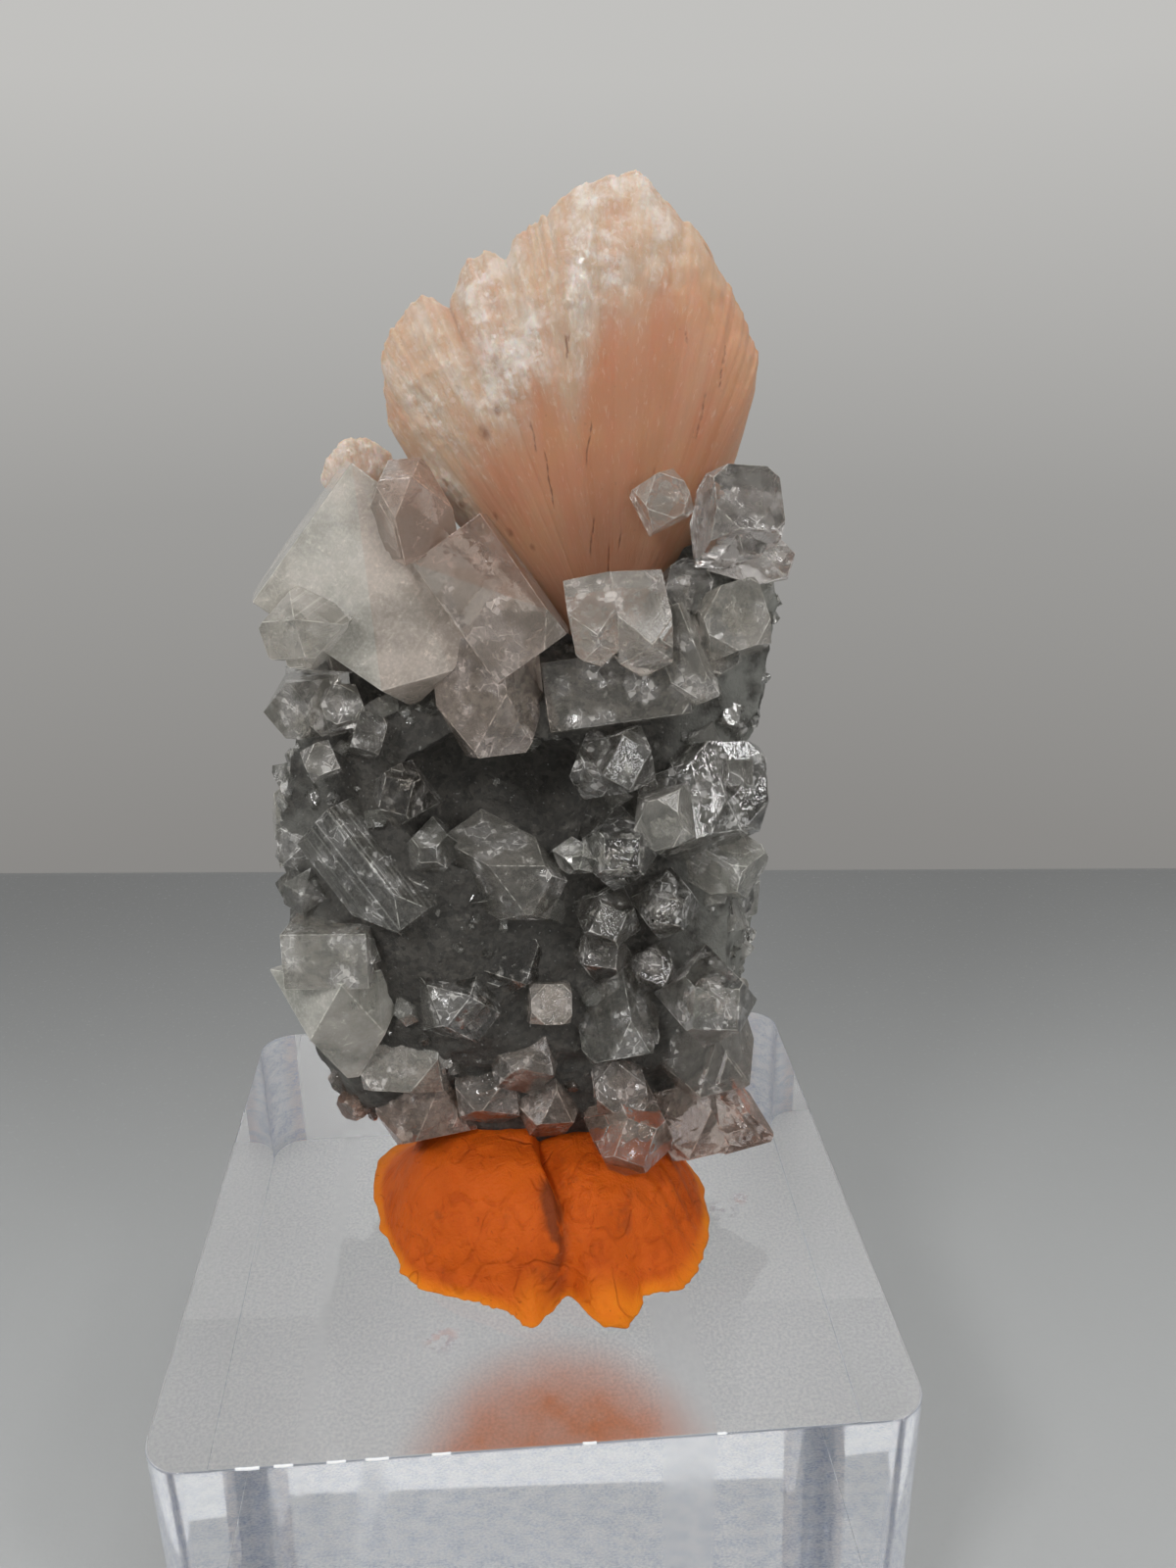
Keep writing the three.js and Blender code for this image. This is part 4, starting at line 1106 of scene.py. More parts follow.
def face_outward(thing):
    """Turns the faces of a closed mesh so that they look out of it."""
    shape = bmesh.new()
    shape.from_mesh(thing.data)
    bmesh.ops.recalc_face_normals(shape, faces=shape.faces[:])
    if shape.calc_volume(signed=True) < 0:
        bmesh.ops.reverse_faces(shape, faces=shape.faces[:])
    shape.to_mesh(thing.data)
    shape.free()


# Where the frosted skin of the big sheaf ends, as degrees and the distance from its base.
FROST_LINE = [(57, 31), (62, 37), (70, 42), (76.8, 42.5), (79.4, 39), (86.2, 36), (90.9, 34.9), (94.2, 33.1),
              (95.6, 29.7), (98.5, 29.2), (101.5, 30.7), (103.7, 32), (105.5, 29), (107.1, 28), (111.5, 28.2),
              (116.6, 28), (121.3, 27), (125.9, 24), (130, 18), (134, 12)]
# Cracks along the blades: degrees at the start and the end, and the distances from the base of both.
CRACKS = [
    (97.8, 97.2, 32.4, 34.8), (96.8, 94.5, 22.7, 26.7), (99.3, 95.9, 13.8, 17.5), (87.3, 86.9, 14, 15.9),
    (107.1, 106.5, 25, 27.9), (71.9, 73, 25.9, 30.4), (70.8, 72, 30.8, 35.2), (78.2, 79, 34.1, 35.5),
    (107.4, 105.4, 19.3, 24.9), (76.5, 78.2, 42.1, 43.6), (80.4, 79.7, 17, 22.5), (92.2, 91.5, 10, 14.5),
]
# Dark specks on the sheaf: degrees, distance and half width.
DARK_SPOTS = [
    (115.6, 28.5, 0.85), (111.6, 29.8, 0.5), (104.6, 31.5, 0.35), (97, 34.4, 0.25), (130.7, 21.5, 0.45),
    (128.5, 23.9, 0.35), (123.3, 21.1, 0.3), (122.7, 18.9, 0.4), (128.2, 26.2, 0.25), (126.5, 17.5, 0.4),
    (119, 16.5, 0.35),
]


def sheaf_finish(angle, distance, reach, last, side):
    """Frost, depth of colour and dark marks over the big sheaf."""
    rows = np.stack([angle * 0.7, distance, np.full_like(angle, side * 30.0)], axis=2).reshape(-1, 3)
    wander = layered_noise(rows * (1, 0.45, 1), 5, 4, 51).reshape(angle.shape)
    line = np.interp(angle, [row[0] for row in FROST_LINE], [row[1] for row in FROST_LINE])
    over = distance - line - 2.2 * wander
    skin = smooth(-4.5, 4.5, over)
    patches = smooth(-0.5, 0.75, layered_noise(rows * (1, 0.28, 1), 3.5, 4, 61).reshape(angle.shape))
    rising = smooth(0.0, 13.0, over)
    apex = 1 - 0.45 * smooth(-5, 0, distance - reach + 4)
    white = np.clip(skin * (0.1 + 0.6 * patches + 0.2 * rising) * apex + 0.15 * last * skin, 0, 1)
    edge = smooth(0, 0.16, 1 - distance / reach) * smooth(59, 70, angle)
    deep = (1 - skin) * (0.55 + 0.45 * edge) * np.clip(0.9 + 0.25 * wander, 0, 1)
    deep = deep * (1 - 0.12 * smooth(112, 127, angle))
    dark = np.zeros_like(angle)
    for at, to, start, end in CRACKS:
        share = np.clip((distance - start) / (end - start), 0, 1)
        middle = at + (to - at) * share + 0.12 * np.sin(distance * 2.3 + at)
        off = np.abs(angle - middle) * np.radians(1) * distance / (0.06 + 0.025 * np.sin(distance * 6 + at))
        inside = smooth(start - 0.2, start + 0.5, distance) * (1 - smooth(end - 0.5, end + 0.2, distance))
        dark = np.maximum(dark, inside * np.clip(1.5 - off, 0, 1))
    for at, where, size in DARK_SPOTS:
        off = np.hypot((angle - at) * np.radians(1) * distance, 0.7 * (distance - where)) / (0.62 * size)
        dark = np.maximum(dark, 0.75 * np.clip(1.4 - off - 0.5 * wander, 0, 1))
    if side:
        dark = dark * 0
    return white, deep, dark, 0.1 * (1 - skin) * smooth(0.12, 0.3, distance / reach) + 0.12 * dark


def bud_finish(angle, distance, reach, last, side):
    """Frost over the small sheaf, with nothing deep or dark."""
    return np.clip(0.35 + 0.5 * last, 0, 1), *np.zeros((3, *angle.shape))


# ---- Putty ----

PUTTY_HEIGHT = 11.5
PUTTY_BACK_HEIGHT = 8.0
PUTTY_MIDDLE = (1.5, -4.0)
PUTTY_LOBE = (20.0, 17.0)
CREASE_X = 2.8
CREASE_DEPTH = 2.6
PUTTY_LIFT = 0.05  # the putty clings to the block, and this keeps the two surfaces apart

# The putty's footprint on the block, once round from the left.
PUTTY_OUTLINE = [
    (-19, 4), (-18, -4), (-15.5, -11), (-12.8, -16), (-8, -18), (-3, -20.5), (-0.5, -22.8), (2, -20),
    (4, -18.8), (6.5, -22.8), (9.4, -23.6), (12, -19.5), (16, -18.5), (18.8, -14), (20.6, -8), (20.4, 1),
    (17, 9), (8, 13), (-7, 13.5), (-16, 10),
]
PUTTY_SECTION = (5.0, 1.7)  # the powers of the curve from the thin rim up to the top


PUTTY_GRID = (420, 150)  # places round it, and rings from the rim to the top
PUTTY_LAP = (0.5, 2.6)  # how steep the crease is under the left lobe, and how far it runs out to the right
FOLDS_FROM = (4.0, -24.0)
FOLDS_APART = 2.6


def closed_curve(points, count):
    """Even places along a smooth closed curve through the points."""
    points = np.asarray(points, float)
    where = np.linspace(0, len(points), count * 8, endpoint=False)
    cell = where.astype(int)
    t = (where - cell)[:, None]
    p0, p1, p2, p3 = (points[(cell + k) % len(points)] for k in (-1, 0, 1, 2))
    dense = 0.5 * (2 * p1 + (p2 - p0) * t + (2 * p0 - 5 * p1 + 4 * p2 - p3) * t ** 2
                   + (3 * p1 - p0 - 3 * p2 + p3) * t ** 3)
    closed = np.vstack([dense, dense[:1]])
    length = np.concatenate([[0], np.cumsum(np.linalg.norm(np.diff(closed, axis=0), axis=1))])
    even = np.linspace(0, length[-1], count, endpoint=False)
    return np.stack([np.interp(even, length, closed[:, k]) for k in range(2)], axis=1)


def putty_plan(around, rings):
    """Where the putty's places lie on the block, from its frayed rim inward, and its section from 0 to 1."""
    edge = closed_curve(PUTTY_OUTLINE, around)
    rim = np.stack([edge[:, 0], edge[:, 1], np.zeros(around)], axis=1)
    middle = np.array(PUTTY_MIDDLE)
    reach = edge - middle
    fray = 0.45 * noise_at(rim, 1.8, 71) + 0.3 * noise_at(rim, 0.5, 72) * smooth(10, 14, -edge[:, 1])
    fray = reach / np.linalg.norm(reach, axis=1)[:, None] * fray[:, None]
    turn = np.arctan2(reach[:, 1], reach[:, 0])
    lobe = np.stack([PUTTY_LOBE[0] * np.cos(turn), PUTTY_LOBE[1] * np.sin(turn)], axis=1)
    inward = np.linspace(1, 0, 2000)
    section = np.stack([inward, (1 - inward ** PUTTY_SECTION[0]) ** PUTTY_SECTION[1]], axis=1)
    along = np.linspace(0, 1, rings)[:-1] ** 1.15
    length = np.concatenate([[0], np.cumsum(np.hypot(*np.diff(section, axis=0).T))])
    out, high = (np.interp(along * length[-1], length, section[:, k]) for k in range(2))
    smear = (out ** 6)[None, :, None]
    spread = lobe[:, None, :] * (1 - smear) + reach[:, None, :] * smear
    flat = middle + out[None, :, None] * spread + (out ** 24)[None, :, None] * fray[:, None, :]
    return flat[..., 0], flat[..., 1], high[None, :]


def putty_thing(material, block_top):
    """Putty pressed into two lobes by two thumbs, with thin smeared edges and the prints of the skin."""
    around, rings = PUTTY_GRID
    x, y, high = putty_plan(around, rings)
    back = smooth(0, 12, y)
    height = PUTTY_HEIGHT * (1 - back) + PUTTY_BACK_HEIGHT * back
    bent = CREASE_X + 1.1 * np.sin((y + 22) * 0.28) - 0.5
    steep, run_out = PUTTY_LAP
    lapped = np.where(x < bent, np.exp(-((x - bent) / steep) ** 2), np.exp(-np.abs(x - bent) / run_out))
    height = height - CREASE_DEPTH * lapped * np.where(y < 0, 1, 0.3) * smooth(0.02, 0.4, high)
    z = high * height
    places = np.stack([x, y, z], axis=2).reshape(-1, 3)
    lumps = 0.6 * layered_noise(places, 6, 3, 81) + 0.32 * noise_at(places * (1, 0.5, 1), 1.7, 82)
    lumps = lumps.reshape(x.shape)
    wave = 2 * np.pi * np.hypot(x - FOLDS_FROM[0], y - FOLDS_FROM[1]) / FOLDS_APART + 1.5 * lumps
    folds = np.sin(wave) * smooth(10, 16, x) * smooth(-19, -13, y)
    body = smooth(0.03, 0.3, high)
    z = z + body * (0.7 * lumps - (thumb_prints(x, y) - 0.3 * folds) + 0.018 * fingerprint(x, y))
    z = np.maximum(z, 0.02 + 0.25 * high) * (np.arange(rings - 1) > 0)
    top, bottom = ((*PUTTY_MIDDLE, climb) for climb in (z[:, -1].mean(), 0.0))
    everything = np.vstack([np.stack([x, y, z], axis=2).reshape(-1, 3), top, bottom])
    number = np.arange(around * (rings - 1)).reshape(around, rings - 1)
    number = np.vstack([number, number[:1]])
    faces = quads(number).tolist()
    faces += [(a, x.size, b) for a, b in zip(number[:-1, -1].tolist(), number[1:, -1].tolist())]
    faces += [(b, x.size + 1, a) for a, b in zip(number[:-1, 0].tolist(), number[1:, 0].tolist())]
    thing = mesh_object("putty_lump", everything + (0, 0, block_top + PUTTY_LIFT), faces, material)
    thin = np.maximum(1 - smooth(0.1, 1.4, z), 0.85 * smooth(18.5, 21.5, -y))
    stain = layered_noise(np.stack([x, y * 0.5, z], axis=2).reshape(-1, 3), 2.2, 4, 91).reshape(x.shape)
    near = np.exp(-((x - bent + 0.9) / 1.0) ** 2 - ((y + 15) / 3.4) ** 2)
    dirt = np.clip(1.7 * near * smooth(-0.2, 0.4, stain) + 0.4 * smooth(0.55, 1.0, stain) * body, 0, 1)
    for name, values in (("thin", thin), ("dirt", dirt)):
        value_layer(thing.data, name, np.append(values.ravel(), [0, 0]))
    face_outward(thing)
    return thing


# The two thumbs: x and y of the middle of each print, its half width and half length, and its depth.
THUMBS = [(-5.5, -13.5, 7.5, 7.0, 1.1), (10.5, -13.0, 6.5, 6.0, 0.9)]
RIDGE_APART = 0.46


def thumb_prints(x, y):
    """How deep the thumbs pressed at each place."""
    return sum(depth * np.exp(-((x - a) / wide) ** 2 - ((y - b) / tall) ** 2)
               for a, b, wide, tall, depth in THUMBS)


def fingerprint(x, y):
    """Ridges of skin as arcs round each thumb's print."""
    total = np.zeros_like(x)
    for k, (a, b, wide, tall, _) in enumerate(THUMBS):
        away = np.hypot((x - a) * 1.1, (y - b + 6) * 0.9)
        away = away + 0.35 * np.sin(x * 0.5 + k * 2) + 0.2 * np.sin(y * 0.8)
        reach = np.exp(-(((x - a) / wide) ** 4) - ((y - b) / tall) ** 4)
        total = total + reach * np.sin(2 * np.pi * away / RIDGE_APART)
    return total


# ---- Acrylic block ----

# How many places there are round each corner and along the front, and over each softened edge.
CORNER_STEPS = 32
FRONT_STEPS = 152
EDGE_STEPS = 5
FOOT_EDGE = 0.06  # the radius of the edge all round the underside
CHIP_REACH = 0.6  # how far in and down from the edge a chip moves places
# Chips along the front's upper edge: where along it, and half their width.
CHIPS = [(-27.2, 1.0), (-24.0, 0.7), (-19.3, 0.8), (-15.4, 1.1), (-9.5, 0.6), (4.6, 0.6), (17.0, 0.5)]


def block_thing(material, low, high, radius, edge):
    """A square block with rounded upright corners and softened edges, chipped along its front."""
    low, high = np.array(low) / MM, np.array(high) / MM
    half = (high[0] - low[0]) / 2
    height = high[2] - low[2]
    inner = half - radius
    around = []
    for quarter, (x, y) in enumerate(QUARTERS):
        around += [(x * inner, y * inner, (quarter + k / CORNER_STEPS) * math.pi / 2)
                   for k in range(CORNER_STEPS + 1)]
        if quarter == 2:
            front = np.linspace(-inner, inner, FRONT_STEPS)[1:-1]
            around += [(value, -inner, 1.5 * math.pi) for value in front]
    x, y, turn = np.array(around).T
    flat = np.zeros(len(turn))
    corner = np.stack([x, y, flat], axis=1)
    ahead = np.stack([np.cos(turn), np.sin(turn), flat], axis=1)
    places, normals = [], []
    sinks = np.linspace(0, math.pi / 2, EDGE_STEPS)
    for sign, soft, order in ((-1, FOOT_EDGE, sinks), (1, edge, sinks[::-1])):
        for sink in order:
            climb = soft * (1 - math.cos(sink))
            ring = ahead * (radius - soft * (1 - math.sin(sink))) + corner
            places.append(ring + (0, 0, climb if sign < 0 else height - climb))
            normals.append(ahead * math.sin(sink) + (0, 0, sign * math.cos(sink)))
    number = np.arange(len(places) * len(turn)).reshape(len(places), -1)
    places = np.concatenate(places) + ((low[0] + high[0]) / 2, (low[1] + high[1]) / 2, low[2])
    chipped = chip(places, half, height + low[2])
    faces = quads(np.hstack([number, number[:, :1]])).tolist()
    faces += [number[0][::-1].tolist(), number[-1].tolist()]
    thing = mesh_object("acrylic_block_clear", places, faces, material)
    thing.data.normals_split_custom_set_from_vertices(np.concatenate(normals).tolist())
    ground, rounded, broken = [], [], []
    for face in thing.data.polygons:
        x, y, _ = face.center
        ground.append(face.normal.z < -0.05)
        # painted pillars of light on the rounded corners: full at the back, a quarter at the front
        rounded.append((1.0 if y > 0 else 0.25) * (min(abs(x), abs(y)) > inner * MM))
        small = len(face.vertices) == 4
        broken.append(small and face.normal.z > 0.05 and any(chipped[k] for k in face.vertices))
    for name, values in (("ground", ground), ("corner", rounded), ("chipped", broken)):
        value_layer(thing.data, name, values, "FACE")
    return thing


def chip(places, half, top):
    """Presses small chips into the front upper edge, and tells which places they moved."""
    moved = np.zeros(len(places))
    for x, size in CHIPS:
        off = np.abs(places[:, 0] - x) / size
        near = (off < 1) & (places[:, 1] < -half + CHIP_REACH) & (places[:, 2] > top - CHIP_REACH)
        bite = 0.35 * size * (1 - off[near] ** 2)
        places[near, 1] += bite * 0.7
        places[near, 2] -= bite
        moved[near] = bite > 0.08
    return moved


# ---- Small crystals on the rock ----

DRUSE_SEED = 77
DRUSE_TRIES = 1500
DRUSE_WIDTH = (0.32, 1.15)  # the smallest half width, and what the largest have more
DRUSE_APART = 0.75  # the least distance between two of them over their half widths
DRUSE_LOWEST = 50.0
HOLLOW = ((-2.0, -3.0, 92.0), (9.0, 8.0, 5.0))  # the middle and half widths of the bare hollow in the rock
DRUSE_PIECES = [("druse_front", -math.inf, 0.0), ("druse_sides", 0.0, 13.0), ("druse_back", 13.0, math.inf)]


def druse_crystals(mesh, large):
    """Small crystals over the rock's bare places, and the spots that they grow on."""
    rng = np.random.default_rng(DRUSE_SEED)
    areas = np.empty(len(mesh.polygons))
    mesh.polygons.foreach_get("area", areas)
    centres = vectors_of(mesh.polygons, "center") / MM
    facing = vectors_of(mesh.polygons, "normal")
    patch = layered_noise(centres, 9, 3, 101)
    hollow = np.exp(-(((centres - HOLLOW[0]) / HOLLOW[1]) ** 2).sum(axis=1))
    weight = areas * np.clip(0.45 + patch, 0.03, 1.6) * (1 - 0.95 * hollow) * (centres[:, 2] > DRUSE_LOWEST)
    weight = weight * np.where((centres[:, 1] < 1) & (np.abs(centres[:, 0]) < 19), 0.2, 1)
    picked = rng.choice(len(areas), DRUSE_TRIES, p=weight / weight.sum(), replace=False)
    covered = np.stack([crystal.outside(centres[picked]) for crystal in large], axis=1).min(axis=1) < 0.3
    kept, spots, sizes = [], np.zeros((0, 3)), np.zeros(0)
    for face in picked[~covered]:
        width = DRUSE_WIDTH[0] + DRUSE_WIDTH[1] * rng.random() ** 3
        spot = centres[face]
        if (np.linalg.norm(spots - spot, axis=1) < DRUSE_APART * (sizes + width)).any():
            continue
        axis = unit(facing[face] + 0.55 * rng.normal(size=3))
        axes = (axis, *across_axes(axis, rng.uniform(0, math.pi)))
        tip = spot + axis * width * rng.uniform(0.5, 1.3)
        ratio, blunt, index = rng.uniform(0.7, 1.2), rng.uniform(0.2, 2.0), int(rng.integers(1, 9999))
        kept.append(Crystal(tip, axes, width, ratio, blunt, width * 2.6, index, rng.uniform(0.1, 0.5), 0.2))
        spots = np.vstack([spots, spot])
        sizes = np.append(sizes, width)
    return kept, spots


def druse_things(material, rock, crystals):
    """Many small crystals over the bare rock, in a few joined pieces."""
    kept, spots = druse_crystals(rock.data, crystals)
    made = []
    for name, near, far in DRUSE_PIECES:
        places, faces, milk, warm, lined, across = [], [], [], [], [], []
        for crystal, spot in zip(kept, spots):
            if near <= spot[1] < far:
                corners, sides = crystal.corners_and_faces()
                faces += [[len(places) + k for k in side] for side in sides]
                places += corners.tolist()
                milk += [crystal.milk] * len(sides)
                # painted reflection of the orange putty on the small crystals toward the foot
                warm += [1 - float(smooth(*PAINTED_PUTTY_GLOW_HEIGHTS, crystal.tip[2]))] * len(sides)
                lined += [crystal.lined] * len(sides)
                across += [crystal.first] * len(sides)
        thing = mesh_object(name, places, faces, material, shade_smooth=False)
        for layer, values in (("milk", milk), ("warm", warm), ("lined", lined)):
            value_layer(thing.data, layer, values, "FACE")
        vector_layer(thing.data, "across", across)
        made.append(thing)
    return made


# ---- Stage ----

CLIP_START = 0.005  # in metres


def add_camera():
    """Puts the camera where it stands, and rolls it a little."""
    pitch, yaw, roll = (math.radians(value) for value in (CAMERA_PITCH, CAMERA_YAW, CAMERA_ROLL))
    forward = Vector((-math.sin(yaw) * math.cos(pitch), math.cos(yaw) * math.cos(pitch), -math.sin(pitch)))
    level = Vector((math.cos(yaw), math.sin(yaw), 0))
    upward = level.cross(forward)
    right = level * math.cos(roll) + upward * math.sin(roll)
    up = upward * math.cos(roll) - level * math.sin(roll)
    data = bpy.data.cameras.new("camera")
    data.sensor_fit = "VERTICAL"
    data.sensor_height = SENSOR
    data.lens = FOCAL_SHARE * SENSOR
    data.clip_start = CLIP_START
    camera = bpy.data.objects.new("camera", data)
    camera.matrix_world = Matrix.Translation(Vector(CAMERA_PLACE) * MM) @ Matrix(
        (right, up, -forward)).transposed().to_4x4()
    bpy.context.scene.collection.objects.link(camera)
    bpy.context.scene.camera = camera


FLOOR_EDGE = ((-136.7, 194.7), (174.4, 165.5))  # two places on the table's far edge
FLOOR_REACH = 1500.0
FLOOR_THICK = 40.0
FLOOR_GAP = 0.15
FLOOR_ROUND = 9.0  # the radius of the far edge


def add_floor(material):
    """A table whose far edge is rounded over."""
    first, second = (np.array(point) for point in FLOOR_EDGE)
    along = (second - first) / np.linalg.norm(second - first)
    back = np.array([-along[1], along[0]])
    middle = (first + second) / 2
    section = [(-FLOOR_REACH, -FLOOR_THICK), (-FLOOR_REACH, 0.0)]
    for turn in np.linspace(0, math.pi / 2, 13):
        section.append((FLOOR_ROUND * (math.sin(turn) - 0.6), FLOOR_ROUND * (math.cos(turn) - 1)))
    section.append((FLOOR_ROUND * 0.4, -FLOOR_THICK))
    places = []
    for side in (-1, 1):
        for reach, height in section:
            x, y = middle + along * side * FLOOR_REACH + back * reach
            places.append((x, y, height - FLOOR_GAP))
    count = len(section)
    faces = [(k, (k + 1) % count, (k + 1) % count + count, k + count) for k in range(count)]
    faces += [list(range(count))[::-1], list(range(count, 2 * count))]
    table = mesh_object("table", places, faces, material, shade_smooth=False)
    face_outward(table)
    for polygon in table.data.polygons:
        polygon.use_smooth = len(polygon.vertices) == 4 and abs(polygon.area) < 0.02


# Each light's name, place, width, height and power in watts. All of them face the middle of the specimen.
LIGHTS = [
    ("softbox", (20, 430, 362), 460, 152, 0.14),
    ("glint right", (170, -240, 330), 36, 36, 0.1),
    ("glint low", (60, -380, 170), 36, 36, 0.06),
    ("key", (-190, -270, 380), 90, 90, 0.58),
    ("fill", (300, -310, 250), 160, 160, 0.3),
    ("side", (-330, -60, 230), 90, 160, 0.16),
    ("top", (90, -20, 480), 120, 120, 0.24),
]
AIM = (0, 0, 90)
# The backdrop's colours from straight down (0) to straight up (1).
BACKDROP = [(0.2, (0.2, 0.197, 0.19)), (0.315, (0.262, 0.255, 0.245)), (0.43, (0.34, 0.335, 0.325)),
            (0.57, (0.53, 0.525, 0.51)), (0.8, (0.62, 0.62, 0.61))]
# The room is darker on the camera's side: from and to this share of the way back, and how much light is left.
BEHIND = (-0.4, 0.1, 0.5)
PATH_BOUNCES = (8, 8, 2)  # how often light is followed in all, through clear things and off dull ones
NOISE_LEFT = 0.1  # a pixel gets no more samples when its noise is below this


def backdrop():
    """The room round the table: darker toward the floor and on the camera's side."""
    look = Look("backdrop", "worlds")
    direction = look.node("ShaderNodeTexCoord", output="Generated")
    toward, up = (look.node("ShaderNodeSeparateXYZ", {}, {0: direction}, axis) for axis in ("Y", "Z"))
    spread = look.node("ShaderNodeMapRange", {}, {"Value": up, "From Min": -1})
    tone = look.node("ShaderNodeValToRGB", {"stops": BACKDROP}, {0: spread})
    strength = look.node("ShaderNodeMapRange", {}, {
        "Value": toward, "From Min": BEHIND[0], "From Max": BEHIND[1], "To Min": BEHIND[2]})
    room = look.node("ShaderNodeBackground", {}, {"Color": tone, "Strength": strength})
    return look.finish(room, kind="ShaderNodeOutputWorld")


def add_lights():
    scene = bpy.context.scene
    for name, place, width, height, power in LIGHTS:
        data = bpy.data.lights.new(name, "AREA")
        data.shape = "RECTANGLE"
        data.size, data.size_y, data.energy = width * MM, height * MM, power
        light = bpy.data.objects.new(name, data)
        light.location = Vector(place) * MM
        light.rotation_euler = (Vector(AIM) - Vector(place)).to_track_quat("-Z", "Y").to_euler()
        light.visible_camera = False
        scene.collection.objects.link(light)
    scene.world = backdrop()
    scene.view_settings.view_transform = "Standard"
    paths = scene.cycles
    paths.max_bounces, paths.transmission_bounces, paths.diffuse_bounces = PATH_BOUNCES
    paths.adaptive_threshold = NOISE_LEFT


# ---- Add-on ----

class SpecimenSettings(bpy.types.PropertyGroup):
    """Sizes and colours that a user would change."""

    corner_radius: FloatProperty(
        name="Corner radius", description="Radius of the block's upright edges in mm",
        default=4.2, min=0.5, max=15)
    edge_softness: FloatProperty(
        name="Edge softness", description="Radius of the block's other edges in mm",
        default=0.22, min=0.05, max=2)
    rock_voxel: FloatProperty(
        name="Rock detail", description="Size of the rock's facets in mm",
        default=0.42, min=0.3, max=2)
    crystal_edge: FloatProperty(
        name="Crystal edge", description="Bevel of the crystals' edges in mm",
        default=0.07, min=0.01, max=0.5)
    apophyllite_ior: FloatProperty(
        name="Apophyllite index", description="Index of refraction of the crystals",
        default=1.535, min=1, max=2)
    putty: FloatVectorProperty(
        name="Putty", description="Colour of the putty",
        subtype="COLOR", default=(0.66, 0.117, 0.008), min=0, max=1)
    basalt: FloatVectorProperty(
        name="Basalt", description="Colour of the rock",
        subtype="COLOR", default=(0.045, 0.043, 0.039), min=0, max=1)
    stilbite_deep: FloatVectorProperty(
        name="Stilbite inside", description="Colour of the sheaf's clean faces",
        subtype="COLOR", default=(0.53, 0.235, 0.12), min=0, max=1)
    stilbite_pale: FloatVectorProperty(
        name="Stilbite skin", description="Colour of the sheaf's outer skin",
        subtype="COLOR", default=(0.52, 0.37, 0.255), min=0, max=1)
    stilbite_white: FloatVectorProperty(
        name="Stilbite frost", description="Colour of the blades' frosted ends",
        subtype="COLOR", default=(0.6, 0.515, 0.43), min=0, max=1)
    floor: FloatVectorProperty(
        name="Floor", description="Colour of the table",
        subtype="COLOR", default=(0.5, 0.51, 0.512), min=0, max=1)


class SPECIMEN_OT_stage(bpy.types.Operator):
    """Adds the camera, the table, the backdrop and the lights"""

    bl_idname = "specimen.stage"
    bl_label = "Stage"

    def execute(self, context):
        add_camera()
        add_floor(floor_material(context.scene.specimen))
        add_lights()
        return {"FINISHED"}


class SPECIMEN_OT_block(bpy.types.Operator):
    """Adds the clear acrylic block"""

    bl_idname = "specimen.block"
    bl_label = "Acrylic block"

    def execute(self, context):
        settings = context.scene.specimen
        low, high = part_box("acrylic_block")
        piece = block_thing(acrylic_material(), low, high, settings.corner_radius, settings.edge_softness)
        dressed(piece, "acrylic", "acrylic_block")
        return {"FINISHED"}


class SPECIMEN_OT_putty(bpy.types.Operator):
    """Adds the pressed lump of putty"""

    bl_idname = "specimen.putty"
    bl_label = "Putty"

    def execute(self, context):
        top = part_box("acrylic_block")[1].z / MM
        piece = putty_thing(putty_material(context.scene.specimen), top)
        dressed(piece, "putty", "putty")
        return {"FINISHED"}


class SPECIMEN_OT_rock(bpy.types.Operator):
    """Adds the basalt and the small crystals over it"""

    bl_idname = "specimen.rock"
    bl_label = "Basalt"

    def execute(self, context):
        settings = context.scene.specimen
        crystals = placed_crystals() + side_crystals()
        rock = rock_thing(basalt_material(settings), settings.rock_voxel, crystals)
        dressed(rock, "basalt", "basalt_matrix")
        look = apophyllite_material("apophyllite_small", settings, (0.95, 0.96, 0.95), 20)
        for piece in druse_things(look, rock, crystals):
            dressed(piece, "apophyllite")
        return {"FINISHED"}


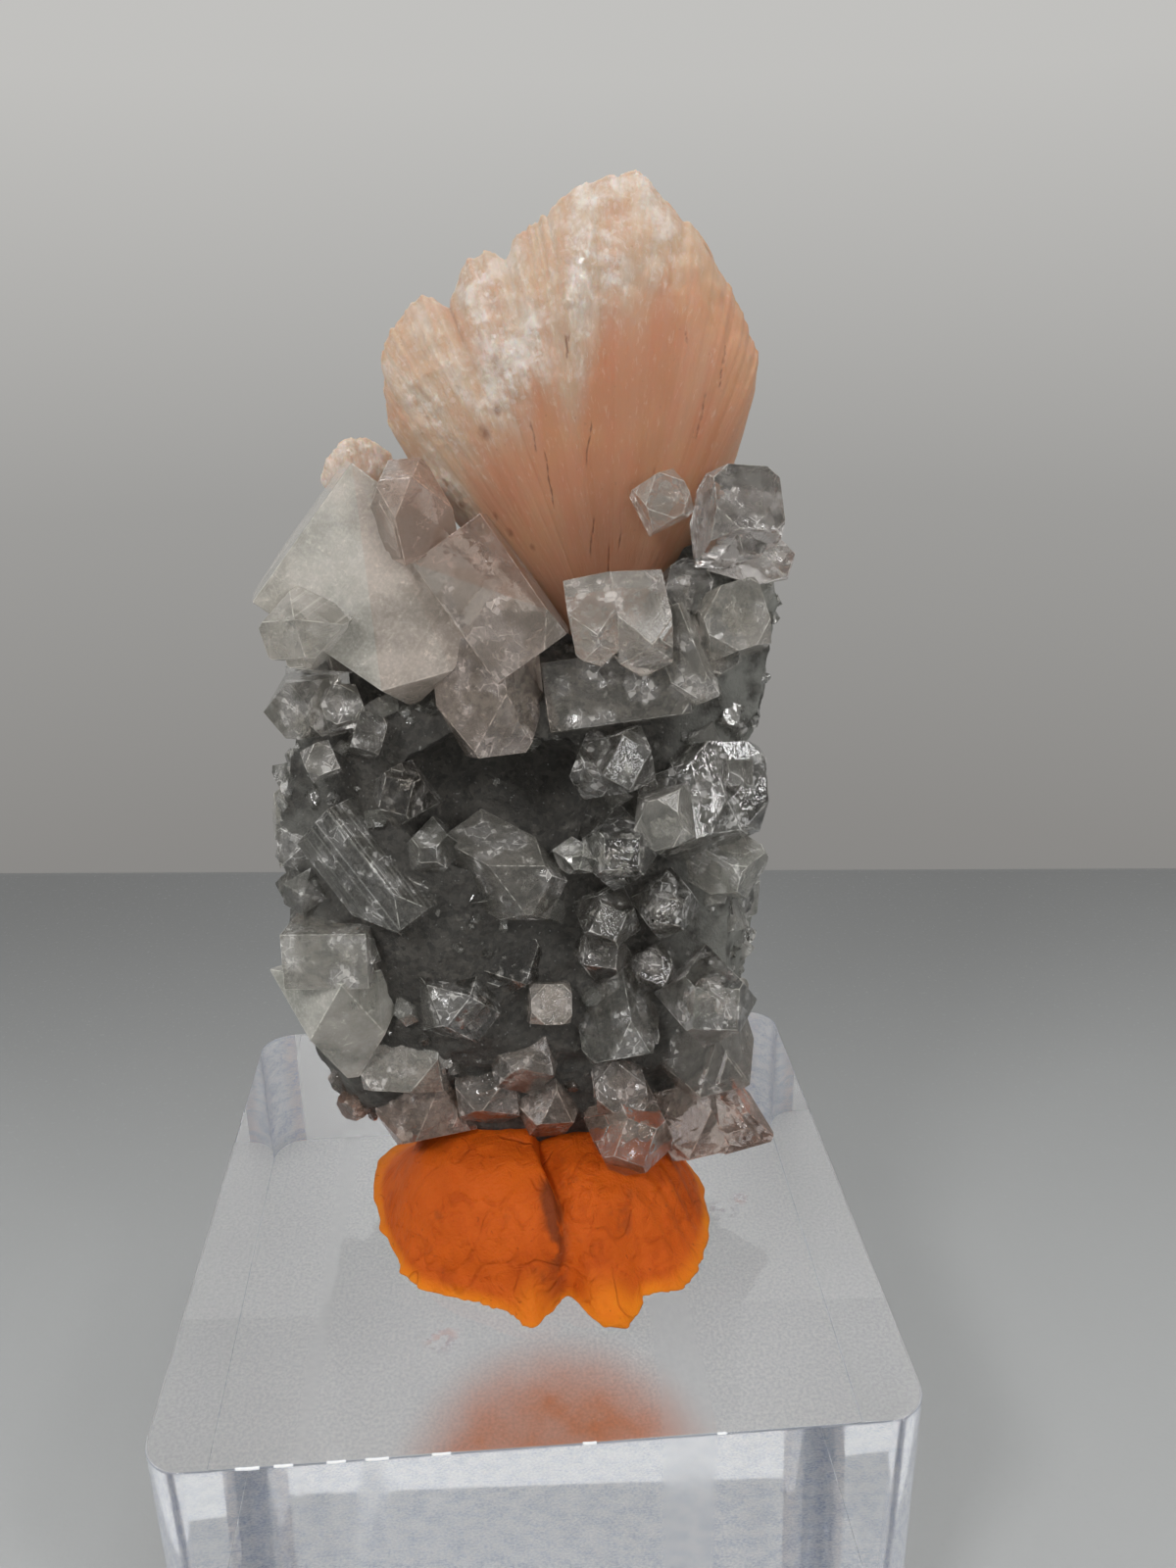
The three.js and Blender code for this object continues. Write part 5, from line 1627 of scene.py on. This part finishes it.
class SPECIMEN_OT_stilbite(bpy.types.Operator):
    """Adds the two stilbite sheaves"""

    bl_idname = "specimen.stilbite"
    bl_label = "Stilbite"

    def execute(self, context):
        settings = context.scene.specimen
        look = stilbite_material("stilbite", settings, 0.7, settings.stilbite_pale, settings.stilbite_white)
        small_look = stilbite_material("stilbite_small", settings, 1.5, (0.53, 0.42, 0.31), (0.7, 0.62, 0.52))
        sheaf = fan_thing("stilbite_fan", SHEAF, SHEAF_RIM, look, sheaf_finish)
        dressed(sheaf, "stilbite", "stilbite_sheaf")
        bud = fan_thing("stilbite_small_fan", BUD, BUD_RIM, small_look, bud_finish)
        dressed(bud, "stilbite", "stilbite_bud")
        return {"FINISHED"}


class SPECIMEN_OT_apophyllite(bpy.types.Operator):
    """Adds the apophyllite crystals, one piece for each group grown together"""

    bl_idname = "specimen.apophyllite"
    bl_label = "Apophyllite"

    def execute(self, context):
        settings = context.scene.specimen
        look = apophyllite_material("apophyllite", settings, (0.95, 0.965, 0.95), 12)
        for node, crystals in groups_of(placed_crystals() + side_crystals()).items():
            if not crystals:
                raise RuntimeError(f"no crystal belongs to {node}")
            everything = crystals + [block for crystal in crystals for block in terraces(crystal)]
            piece = union("crystals" + node[len("apophyllite"):],
                          [crystal.bevelled(settings.crystal_edge) for crystal in everything])
            split(piece, crystals)
            piece.data.materials.clear()
            piece.data.materials.append(look)
            crystal_layers(piece, everything)
            dressed(piece, "apophyllite", node)
        return {"FINISHED"}


OPERATORS = (SPECIMEN_OT_stage, SPECIMEN_OT_block, SPECIMEN_OT_putty, SPECIMEN_OT_rock, SPECIMEN_OT_stilbite,
             SPECIMEN_OT_apophyllite)


class SPECIMEN_PT_panel(bpy.types.Panel):
    """Lists the pieces of the specimen"""

    bl_idname = "SPECIMEN_PT_panel"
    bl_label = "Apophyllite cluster"
    bl_space_type = "VIEW_3D"
    bl_region_type = "UI"
    bl_category = "Mineral"

    def draw(self, context):
        for name in SpecimenSettings.__annotations__:
            self.layout.prop(context.scene.specimen, name)
        for operator in OPERATORS:
            self.layout.operator(operator.bl_idname)


CLASSES = (SpecimenSettings, *OPERATORS, SPECIMEN_PT_panel)


def register():
    for kind in CLASSES:
        bpy.utils.register_class(kind)
    bpy.types.Scene.specimen = PointerProperty(type=SpecimenSettings)


def unregister():
    del bpy.types.Scene.specimen
    for kind in reversed(CLASSES):
        bpy.utils.unregister_class(kind)


def main():
    register()
    for operator in OPERATORS:
        category, name = operator.bl_idname.split(".")
        getattr(getattr(bpy.ops, category), name)()


if __name__ == "__main__":
    main()
